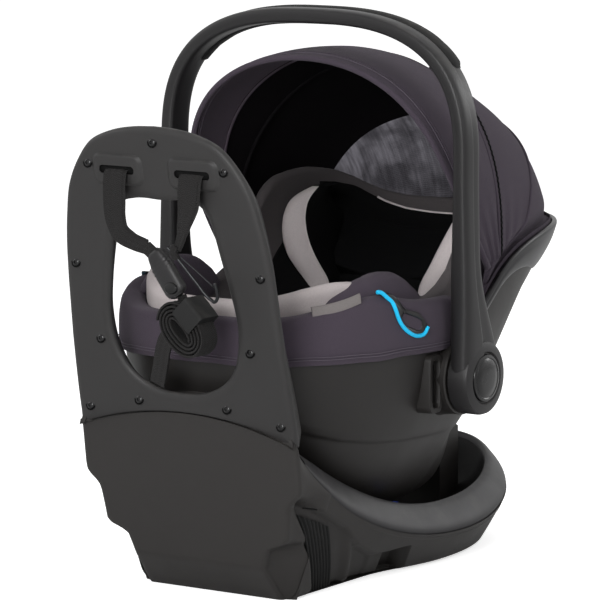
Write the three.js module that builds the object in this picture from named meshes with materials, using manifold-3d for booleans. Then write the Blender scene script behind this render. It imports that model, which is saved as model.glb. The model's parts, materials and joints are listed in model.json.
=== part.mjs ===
// Infant car seat: a carrier with a swinging handle and a folding canopy, latched on a base with a tall
// rebound panel. Millimetres, +Z up. X runs across the seat, +Y towards the head end.
// The origin is on the floor, in the seat's middle plane, straight below the handle.
import * as THREE from 'three';
import { mergeVertices } from 'three/addons/utils/BufferGeometryUtils.js';
import Module from 'manifold-3d';

const wasm = await Module();
wasm.setup();

// ---------------------------------------------------------------- driving dimensions
const gap = 0.3; // seating gap between pieces that touch
const slide = 0.8; // running gap beside pieces that move
const wall = 3; // moulded plastic wall

// carrier shell: every meridian is a quarter superellipse from the bottom centre to the top edge
const shellHalfWidth = 176.5;
const shellFoot = -245;
const shellHead = 345;
const shellBottom = 50;
const shellEdge = 300; // height of the side edge
const planPower = 3;
const meridianPower = 2.2; // round below the sides and the foot end
const headPower = 1.2; // nearly straight below the head end
const headTurn = 0.6; // sine of the plan angle where the straight part is reached
const foamThickness = 12;
const coverThickness = 5;
const padThickness = 16;
const seatLow = 215; // seat surface at the hips
const seatRise = 120; // from the hips up to the back under the head
const bolsterHeight = 32; // how far the seat pad rises above the side edge beside the hips
const hemDrop = 36; // fabric collar hem below the side edge
const flapDrop = 14; // the collar's inner flap below the side edge
const crownRise = 20; // fabric collar crown above the side edge

// head rim: a glossy band round the head end
const rimLead = 12; // how far headwards of the shell's middle the rim starts
const rimStart = (shellFoot + shellHead) / 2 + rimLead;
const rimLow = 292;
const rimRise = 84;
const rimRun = 62;
const rimBand = 48;
const rimThickness = 4;

// base
const baseFoot = -200; // where the tub meets the rebound panel's lower cover
const seamHalfWidth = 148;
const seamHead = 300;
const seamLow = 40;
const ridgeHalfWidth = 122;
const ridgeHead = 280;
const ridgeLow = 73;
const soleHalfWidth = 102;
const soleHead = 262;
const soleSpread = 18; // how much wider the sole grows towards its head end
const spreadFoot = -51;
const roundStart = 75; // where the base's straight sides turn into its round head end
const basePower = 2.2;
const trayFloor = 24;
const trayHalfWidth = 84;
const trayHead = 232;
const trayFoot = -132;
const beltWindowLength = 78;
const beltWindowLow = 10;
const beltWindowHigh = 34;
const beltWindowMiddle = -12;

// rebound panel
const panelTop = 528;
const panelOutlineFoot = 160; // where the outline stops, out of sight behind the lower cover
const farAway = 700; // past everything, for cutting blocks
const panelSeamCrown = 209; // height of the seam between panel frame and lower cover in the middle
const panelSeamDrop = 24;
const panelHalfWidthTop = 119;
const panelHalfWidthLow = 139;
const panelCornerRadius = 70;
const frontDepth = 22;
const rearDepth = 11;
const windowTop = 447;
const windowSill = 22; // from the seam's crown up to the window
const windowBottom = panelSeamCrown + windowSill;
const windowHalfTop = 62;
const windowHalfMiddle = 84;
const noseChamferTop = 40;
const noseToe = 4; // how far the lower cover's sole reaches past the tub
const screwHeadRadius = 4.8;
const screwShankRadius = 2.2;
const screwHeadHeight = 2.6;
const screwLength = 15;
const bossRadius = 6;
const strapSlotWidth = 44;
const strapSlotHeight = 7;
const strapSlotSpacing = 50;
const strapSlotLevel = 478;
const slotPadWidth = 62;
const slotPadHeight = 32;
const slotPadRise = 3;

// handle
const hubY = 18;
const hubZ = 229;
const hubRadius = 42;
const handleArchBase = 470;
const handleTop = 638;
const handleThickness = 18; // along the top bar
const legClearance = 10.5; // between the shell's side and the handle's legs
const legInner = shellHalfWidth + legClearance;
const archOverhang = 22; // how far the arch reaches out from the legs' inner faces
const handleHalfWidth = legInner + archOverhang;
const handleFront = -22;
const handleRear = 16;
const handlePower = 2.75;
const hubThickness = 27;
const handleFoot = legInner + hubThickness; // outer face of the handle's legs at the hub
const hubButtonRadius = 26;
const hubButtonTravel = 4;
const hubBaseRadius = 44;
const gripLength = 150;
const gripThickness = 3;

// canopy
const canopyY = 95;
const canopyZ = 314;
const canopySkin = 1;
const canopyNest = 1.8; // step from one nested panel to the next
const canopyFan = legInner - slide; // outer face of the front panel's side fan, between shell and handle
const domeTuck = 2.2; // how far the dome stands in from the side fans
const canopyHalfWidth = canopyFan - domeTuck;
const fanReach = 85; // how far the side fans reach from the hinge axis before the fabric turns inwards
const fanBlend = 25;
const canopyPower = 2.35;
const canopyBrow = 314; // radius at the front hem, which passes under the handle
const canopyCrown = 268; // radius over the crown
const browAngle = -35;
const browStart = 5; // angle at which the radius starts to grow towards the brow
const frontPanelEnd = -10;
const middlePanelStart = -13;
const middlePanelEnd = 22;
const rearPanelStart = 18;
const rearPanelEnd = 73;

// belt guide
const guideThickness = 10;
const guideFoot = -150;
const guideHead = -60;
const guideTop = 345;
const guideLow = 304;
const guideSlotFoot = 42; // belt slot, from the guide's foot end
const guideSlotHead = 18;
const guideSlotLow = 9;
const guideSlotHigh = 17;

// harness and buckle
const strapWidth = 38;
const strapThickness = 1.6;
const shoulderSpacing = 36;
const buckleWidth = 52;
const buckleHeight = 78;
const buckleThickness = 18;
const buckleY = -38;
const buckleButtonSize = 26;
const buckleTravel = 3;

// head support
const pillowWidth = 190;
const pillowHeight = 120;
const pillowThickness = 30;
const pillowY = 196;
const pillowSink = 8; // how far the uncut pillow reaches into the pad, which trims it
const pillowTravel = 40;
const pillowLift = 0.3; // extra room under the pillow as it slides up
const adjusterTravel = 3;

// anchor straps on the rebound panel
const webbing = 30; // width of the anchor straps
const hangOut = 20; // middle of the hanging pieces in front of the panel's face
const housingX = 14;
const housingZ = 370;
const housingTurn = -36;
const housingLength = 58;
const pushTravel = 2;
const wireRadius = 1.7;
const rollX = 35;
const rollZ = 309;
const rollTurn = -45;
const rollLong = 72;
const rollShort = 52;
const tailWidth = 20;

// ---------------------------------------------------------------- materials
const finishes = {
  shell: [0x3a3838, 0.62],
  base: [0x383534, 0.66],
  rimBand: [0x353336, 0.55],
  gloss: [0x121212, 0.22],
  handle: [0x2d2d2c, 0.5],
  fabric: [0x4a444c, 0.95],
  greyFabric: [0xa8a3a2, 0.95],
  blackFabric: [0x101010, 0.95],
  webbing: [0x2c2c2c, 0.9],
  foam: [0x777777, 0.9],
  steel: [0x55565a, 0.35, 0.9],
  screw: [0x161616, 0.35, 0.6],
  red: [0xb3261e, 0.4],
  blue: [0x1fb5e3, 0.45],
  bubble: [0x2a4fd0, 0.2],
  rubber: [0x161616, 0.9],
};
const materials = {};
for (const [name, [color, roughness, metalness = 0]] of Object.entries(finishes)) {
  materials[name] = new THREE.MeshStandardMaterial({ color, roughness, metalness });
}

const seat = new THREE.Group();

// ---------------------------------------------------------------- geometry helpers
const V = (x, y, z) => new THREE.Vector3(x, y, z);
const lerp = (a, b, t) => a + (b - a) * t;
const smooth = (a, b, v) => THREE.MathUtils.smoothstep(v, a, b);
const signedPower = (v, p) => Math.sign(v) * Math.abs(v) ** p;
const radians = THREE.MathUtils.degToRad;
const steps = (count, make) => Array.from({ length: count }, (_, i) => make(i, i / count));
const level = (z) => () => z;
const spaced = (count, make) => Array.from({ length: count }, (_, i) => make(i / (count - 1)));

// A closed solid through rings of equal length, each face split along its shorter diagonal. "ball" closes
// both ends on their centres, "loop" joins the last ring to the first.
function loft(rings, kind = 'ball') {
  const n = rings[0].length;
  const points = rings.flat();
  const index = [];
  const last = kind === 'loop' ? rings.length : rings.length - 1;
  for (let r = 0; r < last; r++) {
    const a = r * n;
    const b = ((r + 1) % rings.length) * n;
    for (let i = 0; i < n; i++) {
      const j = (i + 1) % n;
      const forwards = points[a + i].distanceTo(points[b + j]) < points[a + j].distanceTo(points[b + i]);
      if (forwards) index.push(a + i, a + j, b + j, a + i, b + j, b + i);
      else index.push(a + i, a + j, b + i, a + j, b + j, b + i);
    }
  }
  if (kind === 'ball') {
    for (const [start, forward] of [[0, false], [(rings.length - 1) * n, true]]) {
      const middle = V(0, 0, 0);
      for (let i = 0; i < n; i++) middle.add(points[start + i]);
      const centre = points.push(middle.divideScalar(n)) - 1;
      for (let i = 0; i < n; i++) {
        const j = (i + 1) % n;
        index.push(...(forward ? [start + i, start + j, centre] : [start + j, start + i, centre]));
      }
    }
  }
  const geometry = new THREE.BufferGeometry().setFromPoints(points);
  geometry.setIndex(index);
  return outward(geometry);
}

// Turns a closed geometry the right way out.
function outward(geometry) {
  const p = geometry.getAttribute('position');
  const index = Array.from(geometry.index.array);
  let volume = 0;
  const a = V(0, 0, 0);
  const b = V(0, 0, 0);
  const c = V(0, 0, 0);
  for (let i = 0; i < index.length; i += 3) {
    a.fromBufferAttribute(p, index[i]);
    b.fromBufferAttribute(p, index[i + 1]);
    c.fromBufferAttribute(p, index[i + 2]);
    volume += a.dot(b.cross(c));
  }
  if (volume < 0) {
    for (let i = 0; i < index.length; i += 3) {
      [index[i + 1], index[i + 2]] = [index[i + 2], index[i + 1]];
    }
    geometry.setIndex(index);
  }
  return geometry;
}

function solid(geometry) {
  let g = geometry.clone();
  g.deleteAttribute('normal');
  g.deleteAttribute('uv');
  g = mergeVertices(g, 1e-4);
  return new wasm.Manifold(new wasm.Mesh({
    numProp: 3,
    vertProperties: Float32Array.from(g.getAttribute('position').array),
    triVerts: Uint32Array.from(g.index.array),
  }));
}

function geometryOf(body) {
  const mesh = body.getMesh();
  const geometry = new THREE.BufferGeometry();
  geometry.setAttribute('position', new THREE.BufferAttribute(mesh.vertProperties, 3));
  geometry.setIndex(new THREE.BufferAttribute(mesh.triVerts, 1));
  return geometry;
}

const cut = (body, ...tools) => tools.reduce((left, tool) => left.subtract(tool), body);
const join = (body, ...others) => others.reduce((left, other) => left.add(other), body);

function add(name, shape, material, x = 0, y = 0, z = 0) {
  const geometry = shape.isBufferGeometry ? shape : geometryOf(shape);
  const mesh = new THREE.Mesh(geometry, materials[material]);
  mesh.name = name;
  mesh.position.set(x, y, z);
  seat.add(mesh);
}

// A box between two corners.
function box(x0, x1, y0, y1, z0, z1) {
  const g = new THREE.BoxGeometry(x1 - x0, y1 - y0, z1 - z0);
  g.translate((x0 + x1) / 2, (y0 + y1) / 2, (z0 + z1) / 2);
  return solid(g);
}

// A cylinder along x, y or z, centred on a point.
function rod(axis, radius, length, x, y, z, sides = 20) {
  const g = new THREE.CylinderGeometry(radius, radius, length, sides);
  if (axis === 'x') g.rotateZ(Math.PI / 2);
  if (axis === 'z') g.rotateX(Math.PI / 2);
  g.translate(x, y, z);
  return solid(g);
}

// A shape drawn in x and z, extruded along y from y0 to y1.
function slabY(shape, y0, y1, curveSegments = 5) {
  const g = new THREE.ExtrudeGeometry(shape, { depth: y1 - y0, bevelEnabled: false, curveSegments });
  g.rotateX(Math.PI / 2);
  g.translate(0, y1, 0);
  return solid(g);
}

// A shape drawn in y and z, extruded along x from x0 to x1.
function slabX(points, x0, x1) {
  const shape = new THREE.Shape(points.map(([y, z]) => new THREE.Vector2(y, z)));
  const g = new THREE.ExtrudeGeometry(shape, { depth: x1 - x0, bevelEnabled: false });
  g.rotateZ(Math.PI / 2);
  g.rotateY(Math.PI / 2);
  g.translate(x0, 0, 0);
  return solid(g);
}

// The same body on the other side of the middle plane.
const mirrored = (body) => body.mirror([1, 0, 0]);

// ---------------------------------------------------------------- carrier outlines
const shellMiddle = (shellFoot + shellHead) / 2;
const shellHalfLength = (shellHead - shellFoot) / 2;
const rimTopAt = (y) => rimLow + rimRise * (1 - Math.exp(-Math.max(0, y - rimStart) / rimRun));
const edgeAt = (y) => Math.max(shellEdge, rimTopAt(y));

// A point of the shell's top edge, moved inwards by an inset.
function edgePoint(angle, inset) {
  const x = (shellHalfWidth - inset) * signedPower(Math.cos(angle), 2 / planPower);
  const y = shellMiddle + (shellHalfLength - inset) * signedPower(Math.sin(angle), 2 / planPower);
  return V(x, y, edgeAt(y));
}

// The bucket's meridian power at a plan angle.
const outerPower = (angle) => lerp(meridianPower, headPower, smooth(-headTurn / 2, headTurn, Math.sin(angle)));

// A ring of the bucket at a fraction of its meridians, moved inwards by an inset and up or down at its rim.
function bucketRing(sides, fraction, inset, rise = level(0), floor = null) {
  return steps(sides, (_, t) => {
    const angle = t * 2 * Math.PI;
    const power = floor ? meridianPower : outerPower(angle);
    const out = Math.sin((fraction * Math.PI) / 2) ** (2 / power);
    const down = Math.cos((fraction * Math.PI) / 2) ** (2 / power);
    const top = edgePoint(angle, inset);
    const height = top.z + (fraction === 1 ? rise(top.y) : 0);
    const y = lerp(shellMiddle, top.y, out);
    return V(top.x * out, y, lerp(height, floor ? floor(y) : shellBottom + inset, down));
  });
}

// A point of the bucket's side at an inset, some way below its top edge.
function wallPoint(angle, inset, drop) {
  const top = edgePoint(angle, inset);
  const power = outerPower(angle);
  const down = Math.max(0, drop) / (top.z - shellBottom);
  const out = (1 - down ** power) ** (1 / power);
  return V(top.x * out, lerp(shellMiddle, top.y, out), top.z - drop);
}

// Height of the seat's lying surface, before it curves up to the sides.
const seatFloor = (y) => seatLow + seatRise * smooth(-30, 260, y);

// Height of the seat pad's upper surface in the middle plane.
function padHeight(y) {
  const out = Math.max(1e-6, Math.abs(y - shellMiddle) / (shellHalfLength - padInner));
  const top = edgeAt(shellMiddle + (y - shellMiddle) / out);
  const down = (1 - out ** meridianPower) ** (1 / meridianPower);
  return lerp(top, seatFloor(y), down);
}

const foamOuter = wall + 1 + gap;
const foamInner = foamOuter + foamThickness;
const padOuter = foamInner + gap + coverThickness + 1;
const padInner = padOuter + padThickness;

const meridian = [0.16, 0.34, 0.5, 0.64, 0.76, 0.87, 1];
const shellSides = 40;

// A cup between two insets of the bucket, its rim raised by a function of y.
function cup(outer, inner, rise, floor) {
  const outside = meridian.map((f) => bucketRing(shellSides, f, outer, rise));
  const inside = meridian.map((f) => bucketRing(shellSides, f, inner, rise, floor)).reverse();
  return loft([...outside, ...inside]);
}

// The bucket's full block at an inset, to cut pieces that seat against the shell's outside.
const bucketBlock = (inset) => solid(loft(meridian.map((f) => bucketRing(shellSides, f, inset))));
const outsideShell = bucketBlock(-gap);

// The space inside the bucket at an inset and everything above it.
const aboveSeat = 700;
function cavity(inset, floor) {
  const rings = meridian.map((f) => bucketRing(shellSides, f, inset, level(0), floor));
  const top = rings[rings.length - 1].map((v) => V(v.x, v.y, aboveSeat));
  return solid(loft([...rings, top]));
}

// The block below the rim of the carrier: its edge grown outwards and capped above the cover's crown.
function edgeBlock(grow, rise) {
  const plan = steps(shellSides, (_, t) => edgePoint(t * 2 * Math.PI, -grow));
  return solid(loft([plan.map((v) => V(v.x, v.y, 0)), plan.map((v) => V(v.x, v.y, v.z + rise))]));
}

// ---------------------------------------------------------------- carrier

add('foam_liner', cup(foamOuter, foamInner, level(0)), 'foam');

// Seat cover collar: a folded band that hangs over the edge of shell and foam.
function collarRing(angle) {
  const edge = edgePoint(angle, 0);
  const inside = edgePoint(angle, foamInner + gap + 1);
  const outside = edgePoint(angle, -(gap + 1));
  const inwards = inside.clone().sub(outside).setZ(0).normalize();
  const head = smooth(rimStart - 56, rimStart - 24, edge.y);
  const drop = lerp(hemDrop, -3, head);
  const crown = lerp(crownRise, 5, head);
  const skin = coverThickness - 1;
  const outer = lerp(-skin, 3, smooth(rimStart - 22, rimStart - 4, edge.y));
  const at = (base, shift, up) => V(base.x + inwards.x * shift, base.y + inwards.y * shift, edge.z + up);
  return [
    at(outside, Math.max(0, outer), -drop),
    at(outside, outer, -drop),
    at(outside, outer, crown * 0.6),
    at(outside, outer + skin, crown),
    at(inside, skin * 0.2, crown * 0.8),
    at(inside, skin, 0),
    at(inside, skin, -flapDrop),
    at(inside, 0, -flapDrop),
    at(inside, 0, 1 + gap),
    at(outside, Math.max(0, outer), 1 + gap),
  ];
}
const guideNotch = [-1, 1].map((side) => {
  const inner = shellHalfWidth - foamInner - 6;
  const notch = box(inner, shellHalfWidth + 12, guideFoot - 1, guideHead + 1, shellEdge + gap, guideTop);
  return side > 0 ? notch : mirrored(notch);
});
const collar = solid(loft(steps(shellSides, (_, t) => collarRing(t * 2 * Math.PI)), 'loop'));
const foamSpace = solid(cup(foamOuter - gap, foamInner + gap, level(gap)));
add('seat_cover', cut(collar, foamSpace, ...guideNotch), 'fabric');

// Seat pad: a soft cup on the foam, with bolsters beside the hips.
const padRise = (y) => bolsterHeight * Math.exp(-(((y + 95) / 60) ** 2)) - 6;
const padCup = cup(padOuter, padInner, padRise, seatFloor);

// Glossy rim round the head end.
const rimOuterInset = -(gap + rimThickness);
const rimAngleStart = Math.asin(((rimStart - shellMiddle) / shellHalfLength) ** (planPower / 2));
const rimRings = spaced(30, (t) => {
  const angle = lerp(rimAngleStart, Math.PI - rimAngleStart, t);
  const inner = edgePoint(angle, -gap);
  const outer = edgePoint(angle, rimOuterInset);
  const taper = lerp(0.35, 1, smooth(0, 0.12, Math.min(t, 1 - t)));
  const below = rimBand * taper;
  const swell = rimOuterInset * 1.3;
  return [
    V(inner.x, inner.y, inner.z + 1),
    V(outer.x, outer.y, outer.z + 1),
    wallPoint(angle, swell, below * 0.4),
    wallPoint(angle, rimOuterInset, below),
    wallPoint(angle, -gap, below),
  ];
});
add('head_rim', cut(solid(loft(rimRings)), cavity(-gap)), 'gloss');

// Hub bases and stroller adapter receivers, seated on the shell's sides.
const hubBaseDepth = 34;
const receiverFoot = -62;
const receiverHead = -26;
const receiverLow = 178;
const receiverTop = 262;
const receiverProud = 5.5; // how far the receiver's outer face stands out of the shell's widest side
const receiverSunk = 36.5;
const receiverDepth = shellHalfWidth + receiverProud;
const receiverInner = shellHalfWidth - receiverSunk;
for (const [side, name] of [[-1, 'left'], [1, 'right']]) {
  const middle = side * (legInner - slide - hubBaseDepth / 2);
  const disc = cut(rod('x', hubBaseRadius, hubBaseDepth, middle, hubY, hubZ, 28), outsideShell);
  add(`hub_base_${name}`, disc, 'shell');
  let block = box(receiverInner, receiverDepth, receiverFoot, receiverHead, receiverLow, receiverTop);
  block = cut(block, outsideShell, box(
    receiverDepth - 7.5, receiverDepth - 2.5, receiverFoot + 6, receiverHead - 6, 0, receiverTop - 12,
  ));
  add(`adapter_receiver_${name}`, side > 0 ? block : mirrored(block), 'shell');
}

// Belt guides: hooked plates on the seat's sides with a slot for the vehicle belt.
const guideProfile = [
  [guideFoot, guideTop], [guideFoot + 4, guideTop - 16], [guideFoot + 22, guideLow + 8],
  [guideHead - 24, guideLow - 3], [guideHead - 4, guideLow - 3], [guideHead, guideLow + 10],
  [guideHead - 14, guideLow + 20], [guideHead - 46, guideTop - 16], [guideHead - 68, guideTop],
];
for (const [side, name] of [[-1, 'left'], [1, 'right']]) {
  const inner = shellHalfWidth - guideThickness;
  const plate = slabX(guideProfile, inner, inner + guideThickness);
  const slot = box(
    inner - 1, inner + guideThickness + 1, guideFoot + guideSlotFoot, guideHead - guideSlotHead,
    guideLow + guideSlotLow, guideLow + guideSlotHigh,
  );
  const guide = cut(plate, slot);
  add(`belt_guide_${name}`, side > 0 ? guide : mirrored(guide), 'gloss');
}

// ---------------------------------------------------------------- seat interior
// A flat strap on the pad: the layer of the bucket above the pad, trimmed to a box in plan.
const overPad = (lift) => cavity(padInner + lift, (y) => seatFloor(y) + lift);
const padSpace = overPad(gap);
const strapLayer = cut(padSpace, overPad(gap + strapThickness));
const strapOnPad = (x, width, foot, head) => strapLayer.intersect(
  box(x - width / 2, x + width / 2, foot, head, 0, aboveSeat),
);

const strapFoot = buckleY + buckleThickness / 2 + 6;
const strapHead = pillowY - 20;
for (const [side, name] of [[-1, 'left'], [1, 'right']]) {
  add(`shoulder_strap_${name}`, strapOnPad(side * shoulderSpacing, strapWidth, strapFoot, strapHead), 'webbing');
}
const buckleZ = padHeight(buckleY) + 1;
const buckleFront = buckleY - buckleThickness / 2;
const buckleBlock = box(
  -buckleWidth / 2, buckleWidth / 2, buckleFront, buckleY + buckleThickness / 2, 0, buckleZ + buckleHeight,
);
const buttonLow = buckleZ + buckleHeight - buckleButtonSize - 6;
const buttonHalf = buckleButtonSize / 2;
const pocketDepth = buckleTravel + 3;
const buttonPocket = box(
  -buttonHalf - slide, buttonHalf + slide, buckleFront - 1, buckleFront + pocketDepth,
  buttonLow - slide, buttonLow + buckleButtonSize + slide,
);
add('buckle_body', cut(buckleBlock.intersect(padSpace), buttonPocket), 'blackFabric');
add('buckle_button', box(
  -buttonHalf, buttonHalf, buckleFront - 1.5, buckleFront + pocketDepth - buckleTravel - gap,
  buttonLow, buttonLow + buckleButtonSize,
), 'red');
add('crotch_strap', strapOnPad(0, strapWidth, buckleY - 60, buckleFront - gap), 'webbing');

// Harness adjuster: a push button on a pad at the foot end.
const adjusterY = buckleY - 92;
const adjusterZ = padHeight(adjusterY);
const adjusterHalf = 17;
const adjusterLow = padHeight(adjusterY + adjusterHalf) - 8;
const adjusterBlock = (grow, low, high) => box(
  -adjusterHalf - grow, adjusterHalf + grow, adjusterY - adjusterHalf - grow, adjusterY + adjusterHalf + grow,
  low, high,
);
add('harness_adjuster', adjusterBlock(0, adjusterLow + gap + adjusterTravel, adjusterZ + 12), 'gloss');
add('seat_pad', cut(solid(padCup), adjusterBlock(slide, adjusterLow, aboveSeat)), 'greyFabric');

// Head pillow: a padded block that slides up the back of the seat.
const backSlope = Math.atan2(padHeight(pillowY + 40) - padHeight(pillowY - 40), 80);
const pillowShape = new THREE.Shape();
const pillowCorner = 34;
const pillowHalf = pillowWidth / 2;
pillowShape.moveTo(-pillowHalf + pillowCorner, 0);
pillowShape.lineTo(pillowHalf - pillowCorner, 0);
pillowShape.quadraticCurveTo(pillowHalf, 0, pillowHalf, pillowCorner);
pillowShape.lineTo(pillowHalf, pillowHeight - pillowCorner);
pillowShape.quadraticCurveTo(pillowHalf, pillowHeight, pillowHalf - pillowCorner, pillowHeight);
pillowShape.lineTo(-pillowHalf + pillowCorner, pillowHeight);
pillowShape.quadraticCurveTo(-pillowHalf, pillowHeight, -pillowHalf, pillowHeight - pillowCorner);
pillowShape.lineTo(-pillowHalf, pillowCorner);
pillowShape.quadraticCurveTo(-pillowHalf, 0, -pillowHalf + pillowCorner, 0);
const pillow = new THREE.ExtrudeGeometry(pillowShape, {
  depth: pillowThickness, bevelEnabled: false, curveSegments: 4,
});
pillow.translate(0, -pillowHeight / 2, 0);
pillow.rotateX(backSlope);
pillow.translate(0, pillowY + pillowSink * Math.sin(backSlope), padHeight(pillowY) - pillowSink);
const pillowSpace = overPad(gap + strapThickness + gap + pillowLift);
const pillowMove = [0, -pillowTravel * Math.cos(backSlope), -pillowTravel * Math.sin(backSlope)];
const pillowStops = [0, 0.04, 0.08, 0.12, 0.17, 0.22, 0.28, 0.34, 0.42, 0.5, 0.6, 0.7, 0.85, 1];
const pillowBody = pillowStops.reduce(
  (body, t) => body.intersect(pillowSpace.translate(pillowMove.map((v) => v * t))), solid(pillow),
);
add('head_pillow', pillowBody, 'blackFabric');

// ---------------------------------------------------------------- carrier latch and release
const barY = 96;
const hookPinY = barY - 26;
const hookHalfWidth = 22;
const lugHeight = 40;
const hookTop = Math.min(...bucketRing(shellSides, meridian[0], 0).map((v) => v.z)) - gap;
const leverTravel = 8;
const leverWidth = 96;
const leverZ = 244;
const leverProud = 4;
const leverY = wallPoint(Math.PI / 2, 0, edgeAt(shellHead) - leverZ).y + leverProud;
const lever = box(-leverWidth / 2, leverWidth / 2, leverY, leverY + 14, leverZ - 14, leverZ + 12);
const leverCut = bucketBlock(-(gap + 1));
add('release_lever', cut(lever, leverCut, leverCut.translate([0, 0, -leverTravel])), 'gloss');
const guardWidth = leverWidth / 2 + 7;
const guard = cut(
  box(-guardWidth, guardWidth, leverY - 40, leverY + 18, leverZ - 22, leverZ + 30),
  box(-leverWidth / 2 - slide, leverWidth / 2 + slide, leverY - 41, leverY + 19, leverZ - 23, leverZ + 24),
  bucketBlock(wall - 1),
);
const lugs = [-1, 1].map((side) => {
  const inner = hookHalfWidth + slide;
  const lug = cut(
    box(inner, inner + 5, hookPinY - 5, hookPinY + 5, hookTop - 8, hookTop + lugHeight), bucketBlock(wall - 1),
  );
  return side > 0 ? lug : mirrored(lug);
});
add('carrier_shell', join(solid(cup(0, wall + 1, level(0))), guard, ...lugs), 'shell');

// ---------------------------------------------------------------- handle
function handleRing(station) {
  const arch = Math.min(1, Math.max(-1, station));
  const run = Math.max(0, Math.abs(station) - 1);
  const side = Math.sign(station);
  const angle = (arch * Math.PI) / 2;
  const thickness = lerp(handleThickness, handleFoot - legInner, smooth(0, 0.8, run));
  const middleHalf = handleHalfWidth - handleThickness / 2;
  const middleTop = handleTop - handleThickness / 2 - handleArchBase;
  const z = run > 0
    ? lerp(handleArchBase, hubZ, run)
    : handleArchBase + middleTop * Math.abs(Math.cos(angle)) ** (2 / handlePower);
  const x = run > 0
    ? side * lerp(middleHalf, (handleFoot + legInner) / 2, smooth(0, 0.8, run))
    : middleHalf * signedPower(Math.sin(angle), 2 / handlePower);
  const rear = lerp(handleRear, hubY + hubRadius * 0.92, smooth(0.35, 1, run) ** 1.5);
  return { x, z, rear, thickness };
}
const halfStations = [0.2, 0.36, 0.5, 0.62, 0.74, 0.86, 1, 1.25, 1.55, 1.8, 2];
const handleStations = [...halfStations.map((v) => -v).reverse(), 0, ...halfStations];
const handlePath = handleStations.map(handleRing);
const handleRings = handlePath.map((here, i) => {
  const before = handlePath[Math.max(0, i - 1)];
  const after = handlePath[Math.min(handlePath.length - 1, i + 1)];
  const along = new THREE.Vector2(after.x - before.x, after.z - before.z).normalize();
  const normal = new THREE.Vector2(-along.y, along.x);
  const half = here.thickness / 2;
  const bevel = 5;
  const at = (out, y) => V(here.x + normal.x * out, y, here.z + normal.y * out);
  return [
    at(-half, handleFront + bevel), at(-half + bevel, handleFront), at(half - bevel, handleFront),
    at(half, handleFront + bevel), at(half, here.rear - bevel), at(half - bevel, here.rear),
    at(-half + bevel, here.rear), at(-half, here.rear - bevel),
  ];
});
const hubMiddle = (legInner + handleFoot) / 2;
let handle = solid(loft(handleRings));
for (const side of [-1, 1]) {
  handle = join(handle, rod('x', hubRadius, handleFoot - legInner, side * hubMiddle, hubY, hubZ, 32));
}
for (const side of [-1, 1]) {
  const depth = hubButtonTravel + 5;
  const middle = side * (handleFoot + 1 - depth / 2);
  handle = cut(handle, rod('x', hubButtonRadius + slide, depth + 2, middle, hubY, hubZ, 28));
}
add('handle_frame', handle, 'handle');
for (const [side, name] of [[-1, 'left'], [1, 'right']]) {
  const inner = handleFoot + 1 - hubButtonTravel - 5 + hubButtonTravel + gap + 0.2;
  const outer = handleFoot + 2.5;
  const button = rod('x', hubButtonRadius, outer - inner, (side * (inner + outer)) / 2, hubY, hubZ, 28);
  add(`hub_button_${name}`, button, 'gloss');
}

// Grip strip along the handle's rear edge.
const gripHalf = gripLength / 2;
const gripLow = handleTop - handleThickness + 3;
add('handle_grip', box(
  -gripHalf, gripHalf, handleRear + gap, handleRear + gap + gripThickness, gripLow, handleTop - 5,
), 'rubber');

// ---------------------------------------------------------------- canopy
// Radius of the canopy about its hinge axis, by angle from straight up, positive towards the head end.
const canopyRadius = (degrees) => {
  const t = Math.max(0, (browStart - degrees) / (browStart - browAngle));
  return lerp(canopyCrown, canopyBrow, t * t);
};

function canopyPanel(start, end, level) {
  const inset = level * canopyNest;
  const along = 6;
  const blend = (reach) => THREE.MathUtils.clamp((reach - fanReach) / fanBlend, 0, 1);
  const half = (degrees, deep) => {
    const radius = canopyRadius(degrees) - inset - deep;
    const spreadAt = (reach) => Math.acos((reach / radius) ** (canopyPower / 2));
    const fans = [3, fanReach, fanReach + fanBlend / 2].map(spreadAt);
    const spreads = [...fans, ...spaced(10, (t) => lerp(spreadAt(fanReach + fanBlend), 0, t))];
    return spreads.map((spread) => {
      const reach = radius * Math.cos(spread) ** (2 / canopyPower);
      const dome = (canopyHalfWidth - inset - deep) * Math.sin(spread) ** (2 / canopyPower);
      const angle = radians(degrees);
      return V(
        lerp(canopyFan - inset - deep, dome, blend(reach)),
        canopyY + reach * Math.sin(angle),
        canopyZ + reach * Math.cos(angle),
      );
    });
  };
  const outside = spaced(along, (a) => half(lerp(start, end, a), 0));
  const inside = spaced(along, (a) => half(lerp(end, start, a), canopySkin));
  const right = outside[0].map((_, i) => [...outside, ...inside].map((line) => line[i]));
  const left = right.slice(0, -1).map((ring) => ring.map((v) => V(-v.x, v.y, v.z)));
  return solid(loft([...right, ...left.reverse()]));
}
add('canopy_front', canopyPanel(browAngle, frontPanelEnd, 0), 'fabric');
add('canopy_middle', canopyPanel(middlePanelStart, middlePanelEnd, 1), 'fabric');
const rearPanel = canopyPanel(rearPanelStart, rearPanelEnd, 2);
add('canopy_rear', cut(rearPanel, edgeBlock(gap + rimThickness + gap, 8)), 'fabric');

// ---------------------------------------------------------------- base
const quadratic = (v) => v * v;
const seamAt = (y) => {
  const u = Math.max(0, 80 - y) / 220;
  const v = Math.max(0, y - 80) / 220;
  return seamLow + 48 * u * u + u ** 8 + 46 * quadratic(v);
};
const ridgeAt = (y) => {
  const u = Math.max(0, 65 - y) / 165;
  const v = Math.max(0, y - 65) / 214;
  return ridgeLow + 36 * u ** 1.8 + 40 * v ** 2.2;
};

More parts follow.
